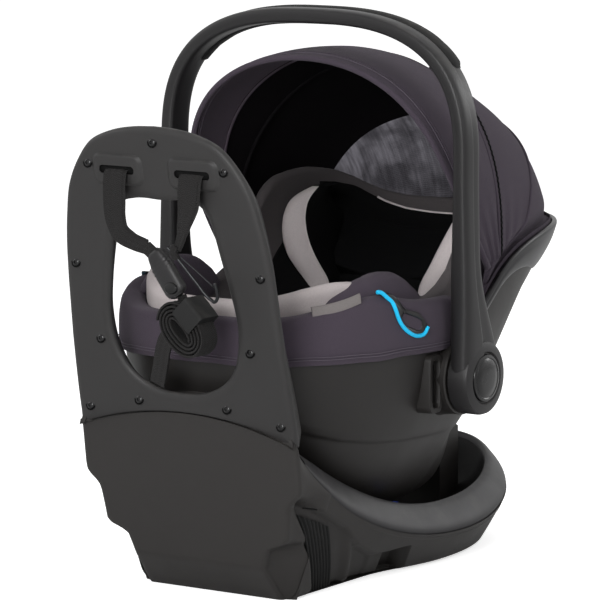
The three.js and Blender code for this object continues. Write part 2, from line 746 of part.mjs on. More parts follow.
// A plan outline with a flat foot end, straight sides that spread headwards and a round head end.
function baseRing(halfWidth, foot, head, heightAt, spread = 0) {
  const sidePoints = 6;
  const endPoints = 17;
  const points = [];
  const halfAt = (y) => halfWidth + spread * smooth(spreadFoot, roundStart, y);
  for (let i = 0; i < sidePoints; i++) {
    const y = lerp(foot, roundStart, i / sidePoints);
    points.push([halfAt(y), y]);
  }
  for (let i = 0; i < endPoints; i++) {
    const angle = (i / (endPoints - 1)) * Math.PI;
    points.push([
      (halfWidth + spread) * signedPower(Math.cos(angle), 2 / basePower),
      roundStart + (head - roundStart) * Math.sin(angle) ** (2 / basePower),
    ]);
  }
  for (let i = sidePoints - 1; i >= 0; i--) {
    const y = lerp(foot, roundStart, i / sidePoints);
    points.push([-halfAt(y), y]);
  }
  return points.map(([x, y]) => V(x, y, heightAt(y)));
}

const between = (a, b, t) => (y) => lerp(a(y), b(y), t);
const tubLip = 8;
const footFace = baseFoot + gap;
const middleSpread = soleSpread * 0.45;
let tub = solid(loft([
  baseRing(soleHalfWidth - 5, footFace, soleHead - 6, level(0), soleSpread),
  baseRing(soleHalfWidth, footFace, soleHead, level(6), soleSpread),
  baseRing(lerp(soleHalfWidth, seamHalfWidth, 0.55), footFace, lerp(soleHead, seamHead, 0.6),
    between(level(6), seamAt, 0.5), middleSpread),
  baseRing(seamHalfWidth, footFace, seamHead, seamAt),
  baseRing(seamHalfWidth - wall, footFace + wall, seamHead - wall, seamAt),
  baseRing(lerp(soleHalfWidth, seamHalfWidth, 0.55) - wall, footFace + wall,
    lerp(soleHead, seamHead, 0.6) - wall, between(level(6), seamAt, 0.5), middleSpread),
  baseRing(soleHalfWidth - wall, footFace + wall, soleHead - wall, level(7), soleSpread),
  baseRing(soleHalfWidth - 9, footFace + wall + 4, soleHead - 10, level(4), soleSpread),
]));
const windowFoot = beltWindowMiddle - beltWindowLength / 2;
const windowHead = beltWindowMiddle + beltWindowLength / 2;
tub = cut(tub, box(-200, 200, windowFoot, windowHead, beltWindowLow, beltWindowHigh));
const nicheFoot = -190;
const nicheHead = -138;
const nicheTop = 62;
for (const side of [-1, 1]) {
  const near = side > 0 ? soleHalfWidth - 8 : -soleHalfWidth - 30;
  tub = cut(tub, box(near, near + 38, nicheFoot, nicheHead, 8, nicheTop));
}
add('base_tub', tub, 'base');

const trayTop = ridgeAt;
const tray = loft([
  baseRing(trayHalfWidth - 20, trayFoot + 20, trayHead - 24, level(trayFloor)),
  baseRing(trayHalfWidth, trayFoot, trayHead, level(trayFloor + 6)),
  baseRing(lerp(trayHalfWidth, ridgeHalfWidth, 0.72), lerp(trayFoot, footFace, 0.6),
    lerp(trayHead, ridgeHead, 0.66), between(level(trayFloor), trayTop, 0.5)),
  baseRing(ridgeHalfWidth, footFace + 6, ridgeHead, trayTop),
  baseRing(ridgeHalfWidth + 6, footFace, ridgeHead + 5, (y) => trayTop(y) + 1),
  baseRing(seamHalfWidth - 2, footFace, seamHead - 2, between(seamAt, trayTop, 0.42)),
  baseRing(seamHalfWidth, footFace, seamHead, (y) => seamAt(y) + gap + 3),
  baseRing(seamHalfWidth - 0.5, footFace, seamHead - 0.5, (y) => seamAt(y) + gap),
  baseRing(seamHalfWidth - wall - 1, footFace + wall, seamHead - wall - 1, (y) => seamAt(y) + gap),
  baseRing(ridgeHalfWidth + 2, footFace + 9, ridgeHead + 2, (y) => trayTop(y) - wall - 2),
  baseRing(lerp(trayHalfWidth, ridgeHalfWidth, 0.72) + wall, lerp(trayFoot, footFace, 0.6) - wall + 9,
    lerp(trayHead, ridgeHead, 0.66) + wall, between(level(trayFloor - 6), trayTop, 0.46)),
  baseRing(trayHalfWidth + 1, trayFoot - 1, trayHead + 1, level(trayFloor + 1)),
  baseRing(trayHalfWidth - 18, trayFoot + 18, trayHead - 22, level(trayFloor - wall)),
]);
const barZ = 39;
const barRadius = 4;
const barHalf = 46;
let upperHousing = solid(tray);
for (const side of [-1, 1]) {
  const inner = side > 0 ? barHalf - 8 : -barHalf - 6;
  upperHousing = join(upperHousing, box(inner, inner + 14, barY - 12, barY + 12, trayFloor - 2, barZ + 9));
}
upperHousing = cut(
  upperHousing, rod('x', barRadius + gap, 2 * barHalf + 2 * gap, 0, barY, barZ, 16), bucketBlock(-slide),
  ...[-1, 1].map((side) => {
    const block = box(soleHalfWidth - 9, soleHalfWidth + 4, nicheFoot - gap, nicheHead + gap, 0, nicheTop + gap);
    return side > 0 ? block : mirrored(block);
  }),
);
add('base_upper_housing', upperHousing, 'rimBand');
add('latch_bar', rod('x', barRadius, 2 * barHalf, 0, barY, barZ, 16), 'steel');

// Latch hook: hangs under the shell beside the bar and swings off it when the lever is squeezed.
const hookGap = 1;
const hookNose = barY - barRadius - hookGap;
const hookProfile = [
  [hookPinY, hookTop], [hookPinY - 7, hookTop - 4], [hookPinY - 7, hookTop - 12], [hookNose, barZ - 7],
  [hookNose, barZ + 3], [hookPinY + 8, hookTop - 2],
];
add('latch_hook', slabX(hookProfile, -hookHalfWidth, hookHalfWidth), 'steel');

// Tower at the head end of the bowl, with a sloped top.
const towerHalf = 36;
const towerFoot = 205;
const towerHead = 246;
const tower = cut(
  slabX([[towerFoot, trayFloor], [towerFoot, 112], [towerHead - 14, 132], [towerHead, 126], [towerHead, trayFloor]],
    -towerHalf, towerHalf),
  outsideShell,
);
const aboveTray = solid(loft([
  baseRing(trayHalfWidth - 20, trayFoot + 20, trayHead - 24, level(trayFloor + gap)),
  baseRing(trayHalfWidth - gap, trayFoot + gap, trayHead - gap, level(trayFloor + 6 + gap)),
  baseRing(lerp(trayHalfWidth, ridgeHalfWidth, 0.72) - gap, lerp(trayFoot, footFace, 0.6) + gap,
    lerp(trayHead, ridgeHead, 0.66) - gap, between(level(trayFloor + gap), (y) => trayTop(y) + gap, 0.5)),
  baseRing(ridgeHalfWidth - gap - 0.4, footFace + 6 + gap, ridgeHead - gap - 0.4, (y) => trayTop(y) + gap),
  baseRing(ridgeHalfWidth - gap - 0.4, footFace + 6 + gap, ridgeHead - gap - 0.4, level(400)),
]));
add('recline_tower', tower.intersect(aboveTray), 'shell');

// Level bubbles in the bowl's sides and dark grilles in the tub's niches.
for (const [side, name] of [[-1, 'left'], [1, 'right']]) {
  const x = side * (ridgeHalfWidth - 8);
  const bubble = rod('z', 5.5, 6, x, -18, ridgeAt(-18) - 4, 16);
  add(`level_bubble_${name}`, bubble.intersect(aboveTray), 'bubble');
  const near = soleHalfWidth - 8;
  let grille = box(near, near + 4, nicheFoot + gap, nicheHead - gap, 8 + gap, nicheTop - gap);
  for (let y = nicheFoot + 6; y < nicheHead - 4; y += 8) {
    grille = cut(grille, box(near + 2.5, near + 5, y, y + 4, 12, nicheTop - 6));
  }
  add(`side_grille_${name}`, side > 0 ? grille : mirrored(grille), 'rubber');
}

// ---------------------------------------------------------------- rebound panel
const frontFace = [[-322, 511], [-325, panelTop + 4], [-296, 370], [-282, 286], [-263, 198], [-240, noseChamferTop]];
const faceAt = (z) => {
  const line = [frontFace[5], frontFace[4], frontFace[3], frontFace[2], frontFace[0], frontFace[1]];
  for (let i = 0; i < line.length - 1; i++) {
    if (z <= line[i + 1][1]) {
      const t = (z - line[i][1]) / (line[i + 1][1] - line[i][1]);
      return lerp(line[i][0], line[i + 1][0], t);
    }
  }
  return line[line.length - 1][0];
};
// A leaning layer of the panel between two depths behind its front face.
function panelLayer(near, far, low, high) {
  const levels = [low, 198, 286, 370, 511, high].filter((z) => z >= low && z <= high);
  const front = levels.map((z) => [faceAt(z) + near, z]);
  const back = levels.map((z) => [faceAt(z) + far, z]).reverse();
  return slabX([...front, ...back], -170, 170);
}

function panelOutline(inset) {
  const s = new THREE.Shape();
  const low = panelHalfWidthLow - inset;
  const high = panelHalfWidthTop - inset;
  const top = panelTop - inset;
  const r = panelCornerRadius - inset;
  const shoulder = top - r;
  s.moveTo(-low, panelOutlineFoot);
  s.lineTo(-low, 198);
  s.lineTo(-high - 12, 370);
  s.lineTo(-high, shoulder);
  s.bezierCurveTo(-high + 2, top - r * 0.45, -high + r * 0.4, top - 8, -high + r, top - 3);
  s.quadraticCurveTo(0, top + 3, high - r, top - 3);
  s.bezierCurveTo(high - r * 0.4, top - 8, high - 2, top - r * 0.45, high, shoulder);
  s.lineTo(high + 12, 370);
  s.lineTo(low, 198);
  s.lineTo(low, panelOutlineFoot);
  return s;
}

function windowOutline(outset) {
  const s = new THREE.Shape();
  const top = windowTop + outset;
  const bottom = windowBottom - outset;
  const upper = windowHalfTop + outset;
  const middle = windowHalfMiddle + outset;
  const r = 24 + outset;
  s.moveTo(-upper + r, top);
  s.quadraticCurveTo(-upper, top, -upper - 2, top - r);
  s.lineTo(-middle, 320);
  s.bezierCurveTo(-middle - 1, 250, -middle * 0.62, bottom, 0, bottom);
  s.bezierCurveTo(middle * 0.62, bottom, middle + 1, 250, middle, 320);
  s.lineTo(upper + 2, top - r);
  s.quadraticCurveTo(upper, top, upper - r, top);
  s.closePath();
  return s;
}

// Everything above the arched seam between the frame and the lower cover.
function aboveSeam(offset) {
  const s = new THREE.Shape();
  const edge = panelSeamCrown - panelSeamDrop + offset;
  s.moveTo(-farAway, edge);
  s.lineTo(-panelHalfWidthLow, edge);
  s.quadraticCurveTo(0, panelSeamCrown + panelSeamDrop + offset, panelHalfWidthLow, edge);
  s.lineTo(farAway, edge);
  s.lineTo(farAway, farAway);
  s.lineTo(-farAway, farAway);
  s.closePath();
  return slabY(s, -farAway, farAway, 8);
}
const frameRegion = aboveSeam(gap);
const coverRegion = box(-farAway, farAway, -farAway, farAway, -farAway, farAway).subtract(aboveSeam(0));

const prism = (shape, segments = 5) => slabY(shape, -farAway, farAway, segments);
const seamScrewOver = 10; // screws beside the seam, above its crown
const cornerScrewUnder = 3; // screws in the lower corners, below the level of the seam's crown
const screwPlaces = [
  [0, 511], [90, 484], [-90, 484], [50, 460], [-50, 460], [123, 370], [-123, 370], [100, 286], [-100, 286],
  [128, panelSeamCrown - cornerScrewUnder], [-128, panelSeamCrown - cornerScrewUnder],
  [59, panelSeamCrown + seamScrewOver], [-59, panelSeamCrown + seamScrewOver],
];

// Turns a body built along y at the origin so that it stands square to the leaning front face at height z.
function square(body, x, z, depth) {
  const slope = (faceAt(z + 6) - faceAt(z - 6)) / 12;
  return body.rotate([THREE.MathUtils.radToDeg(Math.atan(slope)) * -1, 0, 0]).translate([x, faceAt(z) + depth, z]);
}
const recessDepth = 3;
const screwHole = (x, z) => square(
  join(rod('y', screwShankRadius + gap, 60, 0, 28, 0, 8), rod('y', screwHeadRadius + gap, 12, 0, recessDepth - 6, 0, 12)),
  x, z, 0,
);
const boss = (x, z) => square(
  rod('y', bossRadius, frontDepth + 6, 0, recessDepth + 2.4 + (frontDepth + 6) / 2, 0, 8), x, z, 0,
);

const slots = [-1, 1].map((side) => {
  const x = side * strapSlotSpacing;
  return box(x - strapSlotWidth / 2, x + strapSlotWidth / 2, -farAway, farAway,
    strapSlotLevel - strapSlotHeight / 2, strapSlotLevel + strapSlotHeight / 2);
});
const slotPads = [-1, 1].map((side) => {
  const x = side * strapSlotSpacing;
  const half = slotPadWidth / 2;
  const block = box(x - half, x + half, -farAway, farAway, strapSlotLevel - 18, strapSlotLevel + slotPadHeight - 18);
  return block.intersect(panelLayer(-slotPadRise, wall, 300, panelTop));
});

const frameOuter = prism(panelOutline(0)).subtract(prism(windowOutline(0)));
const frameInner = prism(panelOutline(wall)).subtract(prism(windowOutline(wall)));
const hollow = panelLayer(wall, frontDepth + 5, 150, panelTop + 2).intersect(frameInner)
  .intersect(aboveSeam(gap + wall));
let front = panelLayer(0, frontDepth, 150, panelTop + 2).intersect(frameOuter).intersect(frameRegion);
front = join(cut(front, hollow), ...slotPads);
const frontBosses = screwPlaces.map(([x, z]) => square(rod('y', bossRadius + 1.2, recessDepth + 1.5, 0,
  (recessDepth + 1.5) / 2 + 0.6, 0, 8), x, z, 0));
front = cut(join(front, ...frontBosses), ...screwPlaces.map(([x, z]) => screwHole(x, z)), ...slots);
add('rebound_frame_front', front, 'base');

const tongueHalf = 58;
const tongueLow = 40;
const rearPlate = panelLayer(frontDepth + gap, frontDepth + rearDepth, 150, panelTop + 2)
  .intersect(frameOuter).intersect(frameRegion);
const rearHollow = panelLayer(frontDepth + gap - 1, frontDepth + rearDepth - wall, 150, panelTop + 2)
  .intersect(frameInner).intersect(aboveSeam(gap + wall));
const tongue = box(-tongueHalf, tongueHalf, -400, 60, tongueLow, 240)
  .intersect(panelLayer(frontDepth + 2, frontDepth + rearDepth, tongueLow, 240));
const bossBlock = panelLayer(recessDepth + 2.4, frontDepth + rearDepth, 150, panelTop + 2);
const rearBosses = screwPlaces.map(([x, z]) => boss(x, z).intersect(bossBlock));
const insideFront = join(hollow, panelLayer(frontDepth + gap, frontDepth + rearDepth, 30, panelTop + 2));
let rear = join(cut(rearPlate, rearHollow), tongue, ...rearBosses.map((b) => b.intersect(insideFront)));
rear = cut(rear, ...screwPlaces.map(([x, z]) => square(
  join(rod('y', screwShankRadius + gap, 24, 0, 10, 0, 8), rod('y', bossRadius + 1.2 + gap, 12,
    0, recessDepth + 2.1 + gap - 6, 0, 8)), x, z, 0)), ...slots);
add('rebound_frame_rear', rear, 'base');

const noseBack = baseFoot - gap;
const noseBottom = baseFoot - noseToe;
const noseProfile = [
  [noseBack, 250], [faceAt(250), 250], [faceAt(198), 198], [faceAt(noseChamferTop), noseChamferTop],
  [noseBottom - noseToe, 0], [noseBack, 0],
];
const noseOutline = new THREE.Shape([
  [-panelHalfWidthLow, 250], [-panelHalfWidthLow, 198], [-133, 128], [-118, 110], [-114, 73], [-90, 63],
  [-86, 40], [-91, 0], [91, 0], [86, 40], [90, 63], [114, 73], [118, 110], [133, 128],
  [panelHalfWidthLow, 198], [panelHalfWidthLow, 250],
].map(([x, z]) => new THREE.Vector2(x, z)));
const noseInner = new THREE.Shape([
  [-panelHalfWidthLow + wall, 250], [-panelHalfWidthLow + wall, 198], [-130, 131], [-115, 113], [-111, 76],
  [-87, 66], [-83, 42], [-84, 20], [84, 20], [83, 42], [87, 66], [111, 76], [115, 113], [130, 131],
  [panelHalfWidthLow - wall, 198], [panelHalfWidthLow - wall, 250],
].map(([x, z]) => new THREE.Vector2(x, z)));
const noseBlock = slabX(noseProfile, -170, 170);
const noseHollow = slabX([
  [noseBack + 5, 300], [faceAt(250) + wall, 300], [faceAt(250) + wall, 250], [faceAt(198) + wall, 198],
  [faceAt(noseChamferTop) + wall, noseChamferTop], [noseBottom + 6, wall], [noseBack + 5, wall],
], -170, 170);
const nose = cut(
  noseBlock.intersect(prism(noseOutline)).intersect(coverRegion),
  noseHollow.intersect(prism(noseInner)),
  panelLayer(frontDepth + 1.4, frontDepth + rearDepth + 1, tongueLow - 2, 260)
    .intersect(box(-tongueHalf - 1, tongueHalf + 1, -400, 60, tongueLow - 2, 260)),
);
add('rebound_lower_cover', nose, 'base');

// Screws: a domed head in the recess and a shank in the rear boss.
const screwProfile = [
  [0, -screwLength], [screwShankRadius, -screwLength], [screwShankRadius, -screwHeadHeight],
  [screwHeadRadius, -screwHeadHeight], [screwHeadRadius, -0.8], [screwHeadRadius * 0.7, 0], [0, 0],
].map(([r, y]) => new THREE.Vector2(r, y));
const screw = solid(new THREE.LatheGeometry(screwProfile, 8)).mirror([0, 1, 0]);
screwPlaces.forEach(([x, z], i) => {
  add(`panel_screw_${i + 1}`, square(screw, x, z, recessDepth - screwHeadHeight - gap), 'screw');
});

// ---------------------------------------------------------------- anchor straps
// A flat strap through places in front of the panel: x, distance in front of the face, height, turn and width.
function hangingStrap(route) {
  const points = route.map(([x, out, z]) => V(x, faceAt(z) - out, z));
  const rings = points.map((p, i) => {
    const before = points[Math.max(0, i - 1)];
    const after = points[Math.min(points.length - 1, i + 1)];
    const along = after.clone().sub(before).normalize();
    const across = V(1, 0, 0).addScaledVector(along, -along.x).normalize();
    const [, , , turn, width] = route[i];
    const wide = across.applyAxisAngle(along, turn).multiplyScalar(width / 2);
    const thick = wide.clone().cross(along).normalize().multiplyScalar(strapThickness / 2);
    return [
      p.clone().add(wide).add(thick), p.clone().sub(wide).add(thick),
      p.clone().sub(wide).sub(thick), p.clone().add(wide).sub(thick),
    ];
  });
  return solid(loft(rings));
}

// Places a body built round the origin in front of the panel, turned in its face and leaning with it.
const hang = (body, x, z, turn) => square(body.rotate([0, turn, 0]), x, z, -hangOut);

// A smooth body along z through oval rings: height, half width and half depth.
const pebble = (levels, sides) => solid(loft(levels.map(([z, across, deep]) => steps(sides, (_, t) => V(
  across * signedPower(Math.cos(t * 2 * Math.PI), 0.7), deep * signedPower(Math.sin(t * 2 * Math.PI), 0.7), z,
)))));

// A wire through places in a plane, with square ends.
function wire(path, radius, sides) {
  const rings = path.map(([x, z], i) => {
    const [x0, z0] = path[Math.max(0, i - 1)];
    const [x1, z1] = path[Math.min(path.length - 1, i + 1)];
    const along = V(x1 - x0, 0, z1 - z0).normalize();
    return steps(sides, (_, t) => {
      const angle = t * 2 * Math.PI;
      return V(
        x - along.z * radius * Math.cos(angle), radius * Math.sin(angle), z + along.x * radius * Math.cos(angle),
      );
    });
  });
  return solid(loft(rings));
}

// An oval bar along y: half length along z, half width along x.
function oval(long, short, y0, y1, sides) {
  const end = (turn, shift) => spaced(sides / 2, (t) => new THREE.Vector2(
    short * Math.cos(turn + t * Math.PI), short * Math.sin(turn + t * Math.PI) + shift,
  ));
  return slabY(new THREE.Shape([...end(0, long - short), ...end(Math.PI, short - long)]), y0, y1);
}

// Strap adjuster on the left strap, with its push button.
const housingHalf = housingLength / 2;
const housing = pebble([
  [-housingHalf, 7, 4], [-housingHalf + 8, 11, 6.5], [-6, 13, 8.5], [14, 13, 8.5], [housingHalf - 4, 12.5, 6.5],
  [housingHalf, 11.5, 3.5],
], 12);
const pushZ = -housingHalf + 14;
const pushRadius = 4.5;
const pushWell = rod('y', pushRadius + slide, 10, 0, -8.5, pushZ, 12);
add('strap_adjuster', hang(cut(housing, pushWell), housingX, housingZ, housingTurn), 'rubber');
const pushBottom = -8.5 + 5 - gap - pushTravel;
const push = rod('y', pushRadius, 6, 0, pushBottom - 3, pushZ, 12);
add('adjuster_button', hang(push, housingX, housingZ, housingTurn), 'gloss');

const strapDrop = strapSlotLevel - strapSlotHeight / 2 + strapThickness / 2 + gap + 1;
const slotRoute = (x) => [
  [x, -12, strapDrop, 0, webbing], [x, 2, strapDrop, 0, webbing],
  [x, slotPadRise + 4, strapDrop - 2, 0, webbing], [x, slotPadRise + 6, strapDrop - 12, 0, webbing],
];
const housingAxis = radians(housingTurn);
const aboveHousing = (distance) => [
  housingX + (housingHalf + distance) * Math.sin(housingAxis), hangOut,
  housingZ + (housingHalf + distance) * Math.cos(housingAxis),
];
add('anchor_strap_left', hangingStrap([
  ...slotRoute(-strapSlotSpacing), [-strapSlotSpacing + 2, 14, 440, 0, webbing], [-40, hangOut, 416, 0.5, webbing],
  [-26, hangOut, 405, 1, webbing - 8], [...aboveHousing(7), 1.2, 17], [...aboveHousing(gap + 0.2), 1.2, 15],
]), 'webbing');

// Wire hook sewn to the right strap, with its thin spring gate.
const hookX = 52;
const hookZ = 371;
const hookPath = [
  [-33, 28], [-20, 15], [0, -8], [17, -26], [22, -28.5], [26, -25], [27, -17], [24, -9],
];
add('anchor_hook', hang(wire(hookPath, wireRadius, 8), hookX, hookZ, 0), 'steel');
const gatePath = [[-18, 19], [22.5, -12]];
add('hook_gate', hang(wire(gatePath, 0.8, 6), hookX, hookZ, 0), 'steel');
const sewnReach = (wireRadius + gap) * Math.SQRT1_2; // the strap's end rests on the wire's sloping run
const sewnX = hookX - 25 + sewnReach;
const sewnZ = hookZ + 20 + sewnReach;
add('anchor_strap_right', hangingStrap([
  ...slotRoute(strapSlotSpacing), [47, 14, 440, 0, webbing], [40, hangOut, 420, 0.2, webbing - 8],
  [34, hangOut, 405, 0.2, 13], [sewnX + 5, hangOut, sewnZ + 5, 0.1, 10], [sewnX, hangOut, sewnZ, 0.1, 8],
]), 'webbing');

// Spare webbing: leads off the adjuster, is rolled up flat and ends in a short tail.
const core = 4.5;
const roll = cut(
  oval(rollLong / 2, rollShort / 2, -webbing / 2, webbing / 2, 20),
  oval(17, core, -webbing / 2 - 1, webbing / 2 + 1, 12),
);
const placedRoll = hang(roll, rollX, rollZ, rollTurn);
const lead = hangingStrap([
  [...aboveHousing(-housingLength - gap), 1.2, 8], [...aboveHousing(-housingLength - 5), 1.2, 10],
  [rollX - 3, hangOut, rollZ + 25, 1.2, 12], [rollX - 7, hangOut, rollZ + 18, 1.2, 12],
]);
const tail = hangingStrap([
  [18, hangOut, 302, 0, tailWidth], [2, hangOut, 290, 0, tailWidth], [-6, hangOut, 272, 0, tailWidth],
  [-17, hangOut, 243, 0, tailWidth],
]);
add('rolled_strap', join(placedRoll, lead, tail), 'webbing');
const keeperHalf = 12;
const keeperSkin = 1.3;
const keeperY = webbing / 2 + gap;
const keeperOut = rollShort / 2 + gap;
const keeperIn = core - gap;
const keeper = cut(
  box(keeperIn - keeperSkin, keeperOut + keeperSkin, -keeperY - keeperSkin, keeperY + keeperSkin,
    -keeperHalf, keeperHalf),
  box(keeperIn, keeperOut, -keeperY, keeperY, -keeperHalf - 1, keeperHalf + 1),
);
add('strap_keeper', hang(keeper, rollX, rollZ, rollTurn), 'webbing');

export default seat;
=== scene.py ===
"""Looks of an infant car seat on its base, built round the packed part.

Lengths in this script are millimetres until a mesh is made. X runs across the seat, Y towards the head end,
Z up.
"""

import json
import logging
import math
from collections.abc import Callable, Sequence
from dataclasses import dataclass
from enum import Enum

import bpy
import numpy as np
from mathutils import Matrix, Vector

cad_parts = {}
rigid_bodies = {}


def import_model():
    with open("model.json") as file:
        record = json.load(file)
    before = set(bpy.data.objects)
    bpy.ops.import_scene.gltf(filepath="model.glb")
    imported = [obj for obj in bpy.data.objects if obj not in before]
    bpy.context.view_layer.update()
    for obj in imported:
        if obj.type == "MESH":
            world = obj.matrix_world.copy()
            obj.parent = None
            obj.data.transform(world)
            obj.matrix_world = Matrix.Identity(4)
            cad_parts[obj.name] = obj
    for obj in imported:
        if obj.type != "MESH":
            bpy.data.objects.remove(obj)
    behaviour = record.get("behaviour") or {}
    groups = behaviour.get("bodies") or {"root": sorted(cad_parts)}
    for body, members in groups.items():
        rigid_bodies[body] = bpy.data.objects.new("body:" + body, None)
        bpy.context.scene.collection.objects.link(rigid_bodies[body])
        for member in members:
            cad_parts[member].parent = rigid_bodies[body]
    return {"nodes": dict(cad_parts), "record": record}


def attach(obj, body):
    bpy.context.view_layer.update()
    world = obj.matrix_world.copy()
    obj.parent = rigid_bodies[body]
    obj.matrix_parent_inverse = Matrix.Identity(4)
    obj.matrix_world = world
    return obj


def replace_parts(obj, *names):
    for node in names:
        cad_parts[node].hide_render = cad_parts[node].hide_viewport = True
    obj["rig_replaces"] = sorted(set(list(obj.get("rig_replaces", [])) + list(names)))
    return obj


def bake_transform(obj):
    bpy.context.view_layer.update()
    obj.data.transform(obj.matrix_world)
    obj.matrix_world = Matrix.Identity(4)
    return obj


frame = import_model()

MM = 0.001
log = logging.getLogger("infant_seat")


# ---------------------------------------------------------------- numbers and curves
def signed_power(value: np.ndarray, power: float) -> np.ndarray:
    """Raises the size of a value to a power and keeps its sign."""
    return np.sign(value) * np.abs(value) ** power


def smooth(low: float, high: float, value: np.ndarray) -> np.ndarray:
    """Eases from 0 at low to 1 at high."""
    t = np.clip((value - low) / (high - low), 0.0, 1.0)
    return t * t * (3 - 2 * t)


def lerp(a: np.ndarray, b: np.ndarray, t: np.ndarray) -> np.ndarray:
    """Straight blend from a to b."""
    return a + (b - a) * t


def unit(vectors: np.ndarray) -> np.ndarray:
    """Scales vectors along the last axis to length 1."""
    return vectors / np.maximum(np.linalg.norm(vectors, axis=-1, keepdims=True), 1e-9)


def curve(points: Sequence[Sequence[float]], count: int) -> np.ndarray:
    """Smooth open curve through points, spaced evenly by chord length.

    Each span is a cubic whose end slopes are the mean slopes of the spans beside it.

    Args:
        points: rows of any width that the curve passes through.
        count: number of rows returned.

    Returns:
        An array of count rows.
    """
    p = np.asarray(points, float)
    s = np.concatenate([[0], np.cumsum(np.linalg.norm(np.diff(p[:, :3], axis=0), axis=1))])
    slope = np.gradient(p, s, axis=0) if len(p) > 2 else np.repeat((p[1:] - p[:1]) / s[1], 2, axis=0)
    at = np.linspace(0, s[-1], count)
    k = np.clip(np.searchsorted(s, at, side="right") - 1, 0, len(s) - 2)
    h = (s[k + 1] - s[k])[:, None]
    t = ((at - s[k]) / h[:, 0])[:, None]
    return (
        p[k] * (1 + 2 * t) * (1 - t) ** 2
        + p[k + 1] * t * t * (3 - 2 * t)
        + h * slope[k] * t * (1 - t) ** 2
        - h * slope[k + 1] * t * t * (1 - t)
    )


def table(pairs: Sequence[tuple[float, float]]) -> Callable[[np.ndarray], np.ndarray]:
    """Straight-line lookup through (input, value) pairs."""
    data = np.array(sorted(pairs), float)
    return lambda value: np.interp(value, data[:, 0], data[:, 1])


def curve_table(pairs: Sequence[tuple[float, float]], blur: int = 900) -> Callable[[np.ndarray], np.ndarray]:
    """Lookup like table, but rounded at its points by averaging neighbours over and over."""
    data = np.array(sorted(pairs), float)
    grid = np.linspace(data[0, 0], data[-1, 0], 400)
    value = np.interp(grid, data[:, 0], data[:, 1])
    for _ in range(blur):
        value[1:-1] = 0.25 * value[:-2] + 0.5 * value[1:-1] + 0.25 * value[2:]
    return lambda at: np.interp(at, grid, value)


def soften(rows: np.ndarray, times: int, closed: bool = True) -> np.ndarray:
    """Rounds each row of a (rows, points, 3) array by cutting corners a quarter of the way in.

    Args:
        rows: sections, each a line of points.
        times: how often the corners are cut; each time doubles the points.
        closed: whether a section's last point joins its first.

    Returns:
        The rounded sections.
    """
    for _ in range(times):
        after = np.roll(rows, -1, axis=1) if closed else rows[:, 1:]
        here = rows if closed else rows[:, :-1]
        cut = np.stack([here * 0.75 + after * 0.25, here * 0.25 + after * 0.75], axis=2)
        cut = cut.reshape(rows.shape[0], -1, rows.shape[2])
        rows = cut if closed else np.concatenate([rows[:, :1], cut, rows[:, -1:]], axis=1)
    return rows


def ripple(points: np.ndarray, size: float, seed: int) -> np.ndarray:
    """Smooth random field between about -1 and 1: a sum of waves in random directions.

    Args:
        points: where the field is read, in millimetres.
        size: length of the longest wave, in millimetres.
        seed: which field it is.

    Returns:
        One value for each point.
    """
    random = np.random.default_rng(seed)
    total = np.zeros(points.shape[:-1])
    for k in range(9):
        way = unit(random.normal(size=3)) * (2 * math.pi / (size / (1 + 0.35 * k)))
        total += np.sin(points @ way + random.uniform(0, 2 * math.pi)) / (1 + 0.35 * k)
    return total / 3.2


def circle(count: int, radius: float = 1.0) -> np.ndarray:
    """Points of a circle as (n, 2), anticlockwise."""
    turn = np.linspace(0, 2 * math.pi, count, endpoint=False)
    return radius * np.stack([np.cos(turn), np.sin(turn)], axis=1)


def pill(width: float, height: float, radius: float, steps: int = 5) -> np.ndarray:
    """Rectangle with round corners, drawn once round from its right side, as (n, 2)."""
    corners = [(1, 1, 0), (-1, 1, 90), (-1, -1, 180), (1, -1, 270)]
    out = []
    for sx, sy, start in corners:
        turn = np.radians(start + np.linspace(0, 90, steps))
        centre = np.array([sx * (width / 2 - radius), sy * (height / 2 - radius)])
        out.append(centre + radius * np.stack([np.cos(turn), np.sin(turn)], axis=1))
    return np.concatenate(out)


# ---------------------------------------------------------------- meshes
def mesh_object(name: str, verts: np.ndarray, faces: list, uvs: np.ndarray | None = None) -> bpy.types.Object:
    """Makes a smooth-shaded object at the origin with its faces turned outwards.

    Args:
        name: name of the piece.
        verts: (n, 3) points in millimetres.
        faces: lists of vertex numbers.
        uvs: one (u, v) for each face corner, in metres of surface.

    Returns:
        The new object, linked to the scene.
    """
    mesh = bpy.data.meshes.new(name)
    points = verts * MM
    sizes = np.array([len(f) for f in faces])
    flat = np.concatenate([np.asarray(f) for f in faces]) if len(faces) else np.zeros(0, int)
    starts = np.concatenate([[0], np.cumsum(sizes)[:-1]])
    middle = points.mean(axis=0)
    fan = [(f[0], f[i], f[i + 1]) for f in faces for i in range(1, len(f) - 1)]
    a, b, c = (points[np.array(fan)[:, i]] - middle for i in range(3))
    if np.einsum("ij,ij->i", a, np.cross(b, c)).sum() < 0:
        order = np.concatenate([s + np.arange(n)[::-1] for s, n in zip(starts, sizes)])
        flat = flat[order]
        uvs = None if uvs is None else uvs[order]
    mesh.vertices.add(len(points))
    mesh.vertices.foreach_set("co", points.ravel().astype(np.float32))
    mesh.loops.add(len(flat))
    mesh.loops.foreach_set("vertex_index", flat.astype(np.int32))
    mesh.polygons.add(len(sizes))
    mesh.polygons.foreach_set("loop_start", starts.astype(np.int32))
    mesh.update(calc_edges=True)
    mesh.validate()
    mesh.shade_smooth()
    if uvs is not None:
        layer = mesh.uv_layers.new(name="surface")
        layer.data.foreach_set("uv", uvs.ravel().astype(np.float32))
    obj = bpy.data.objects.new(name, mesh)
    bpy.context.scene.collection.objects.link(obj)
    return obj


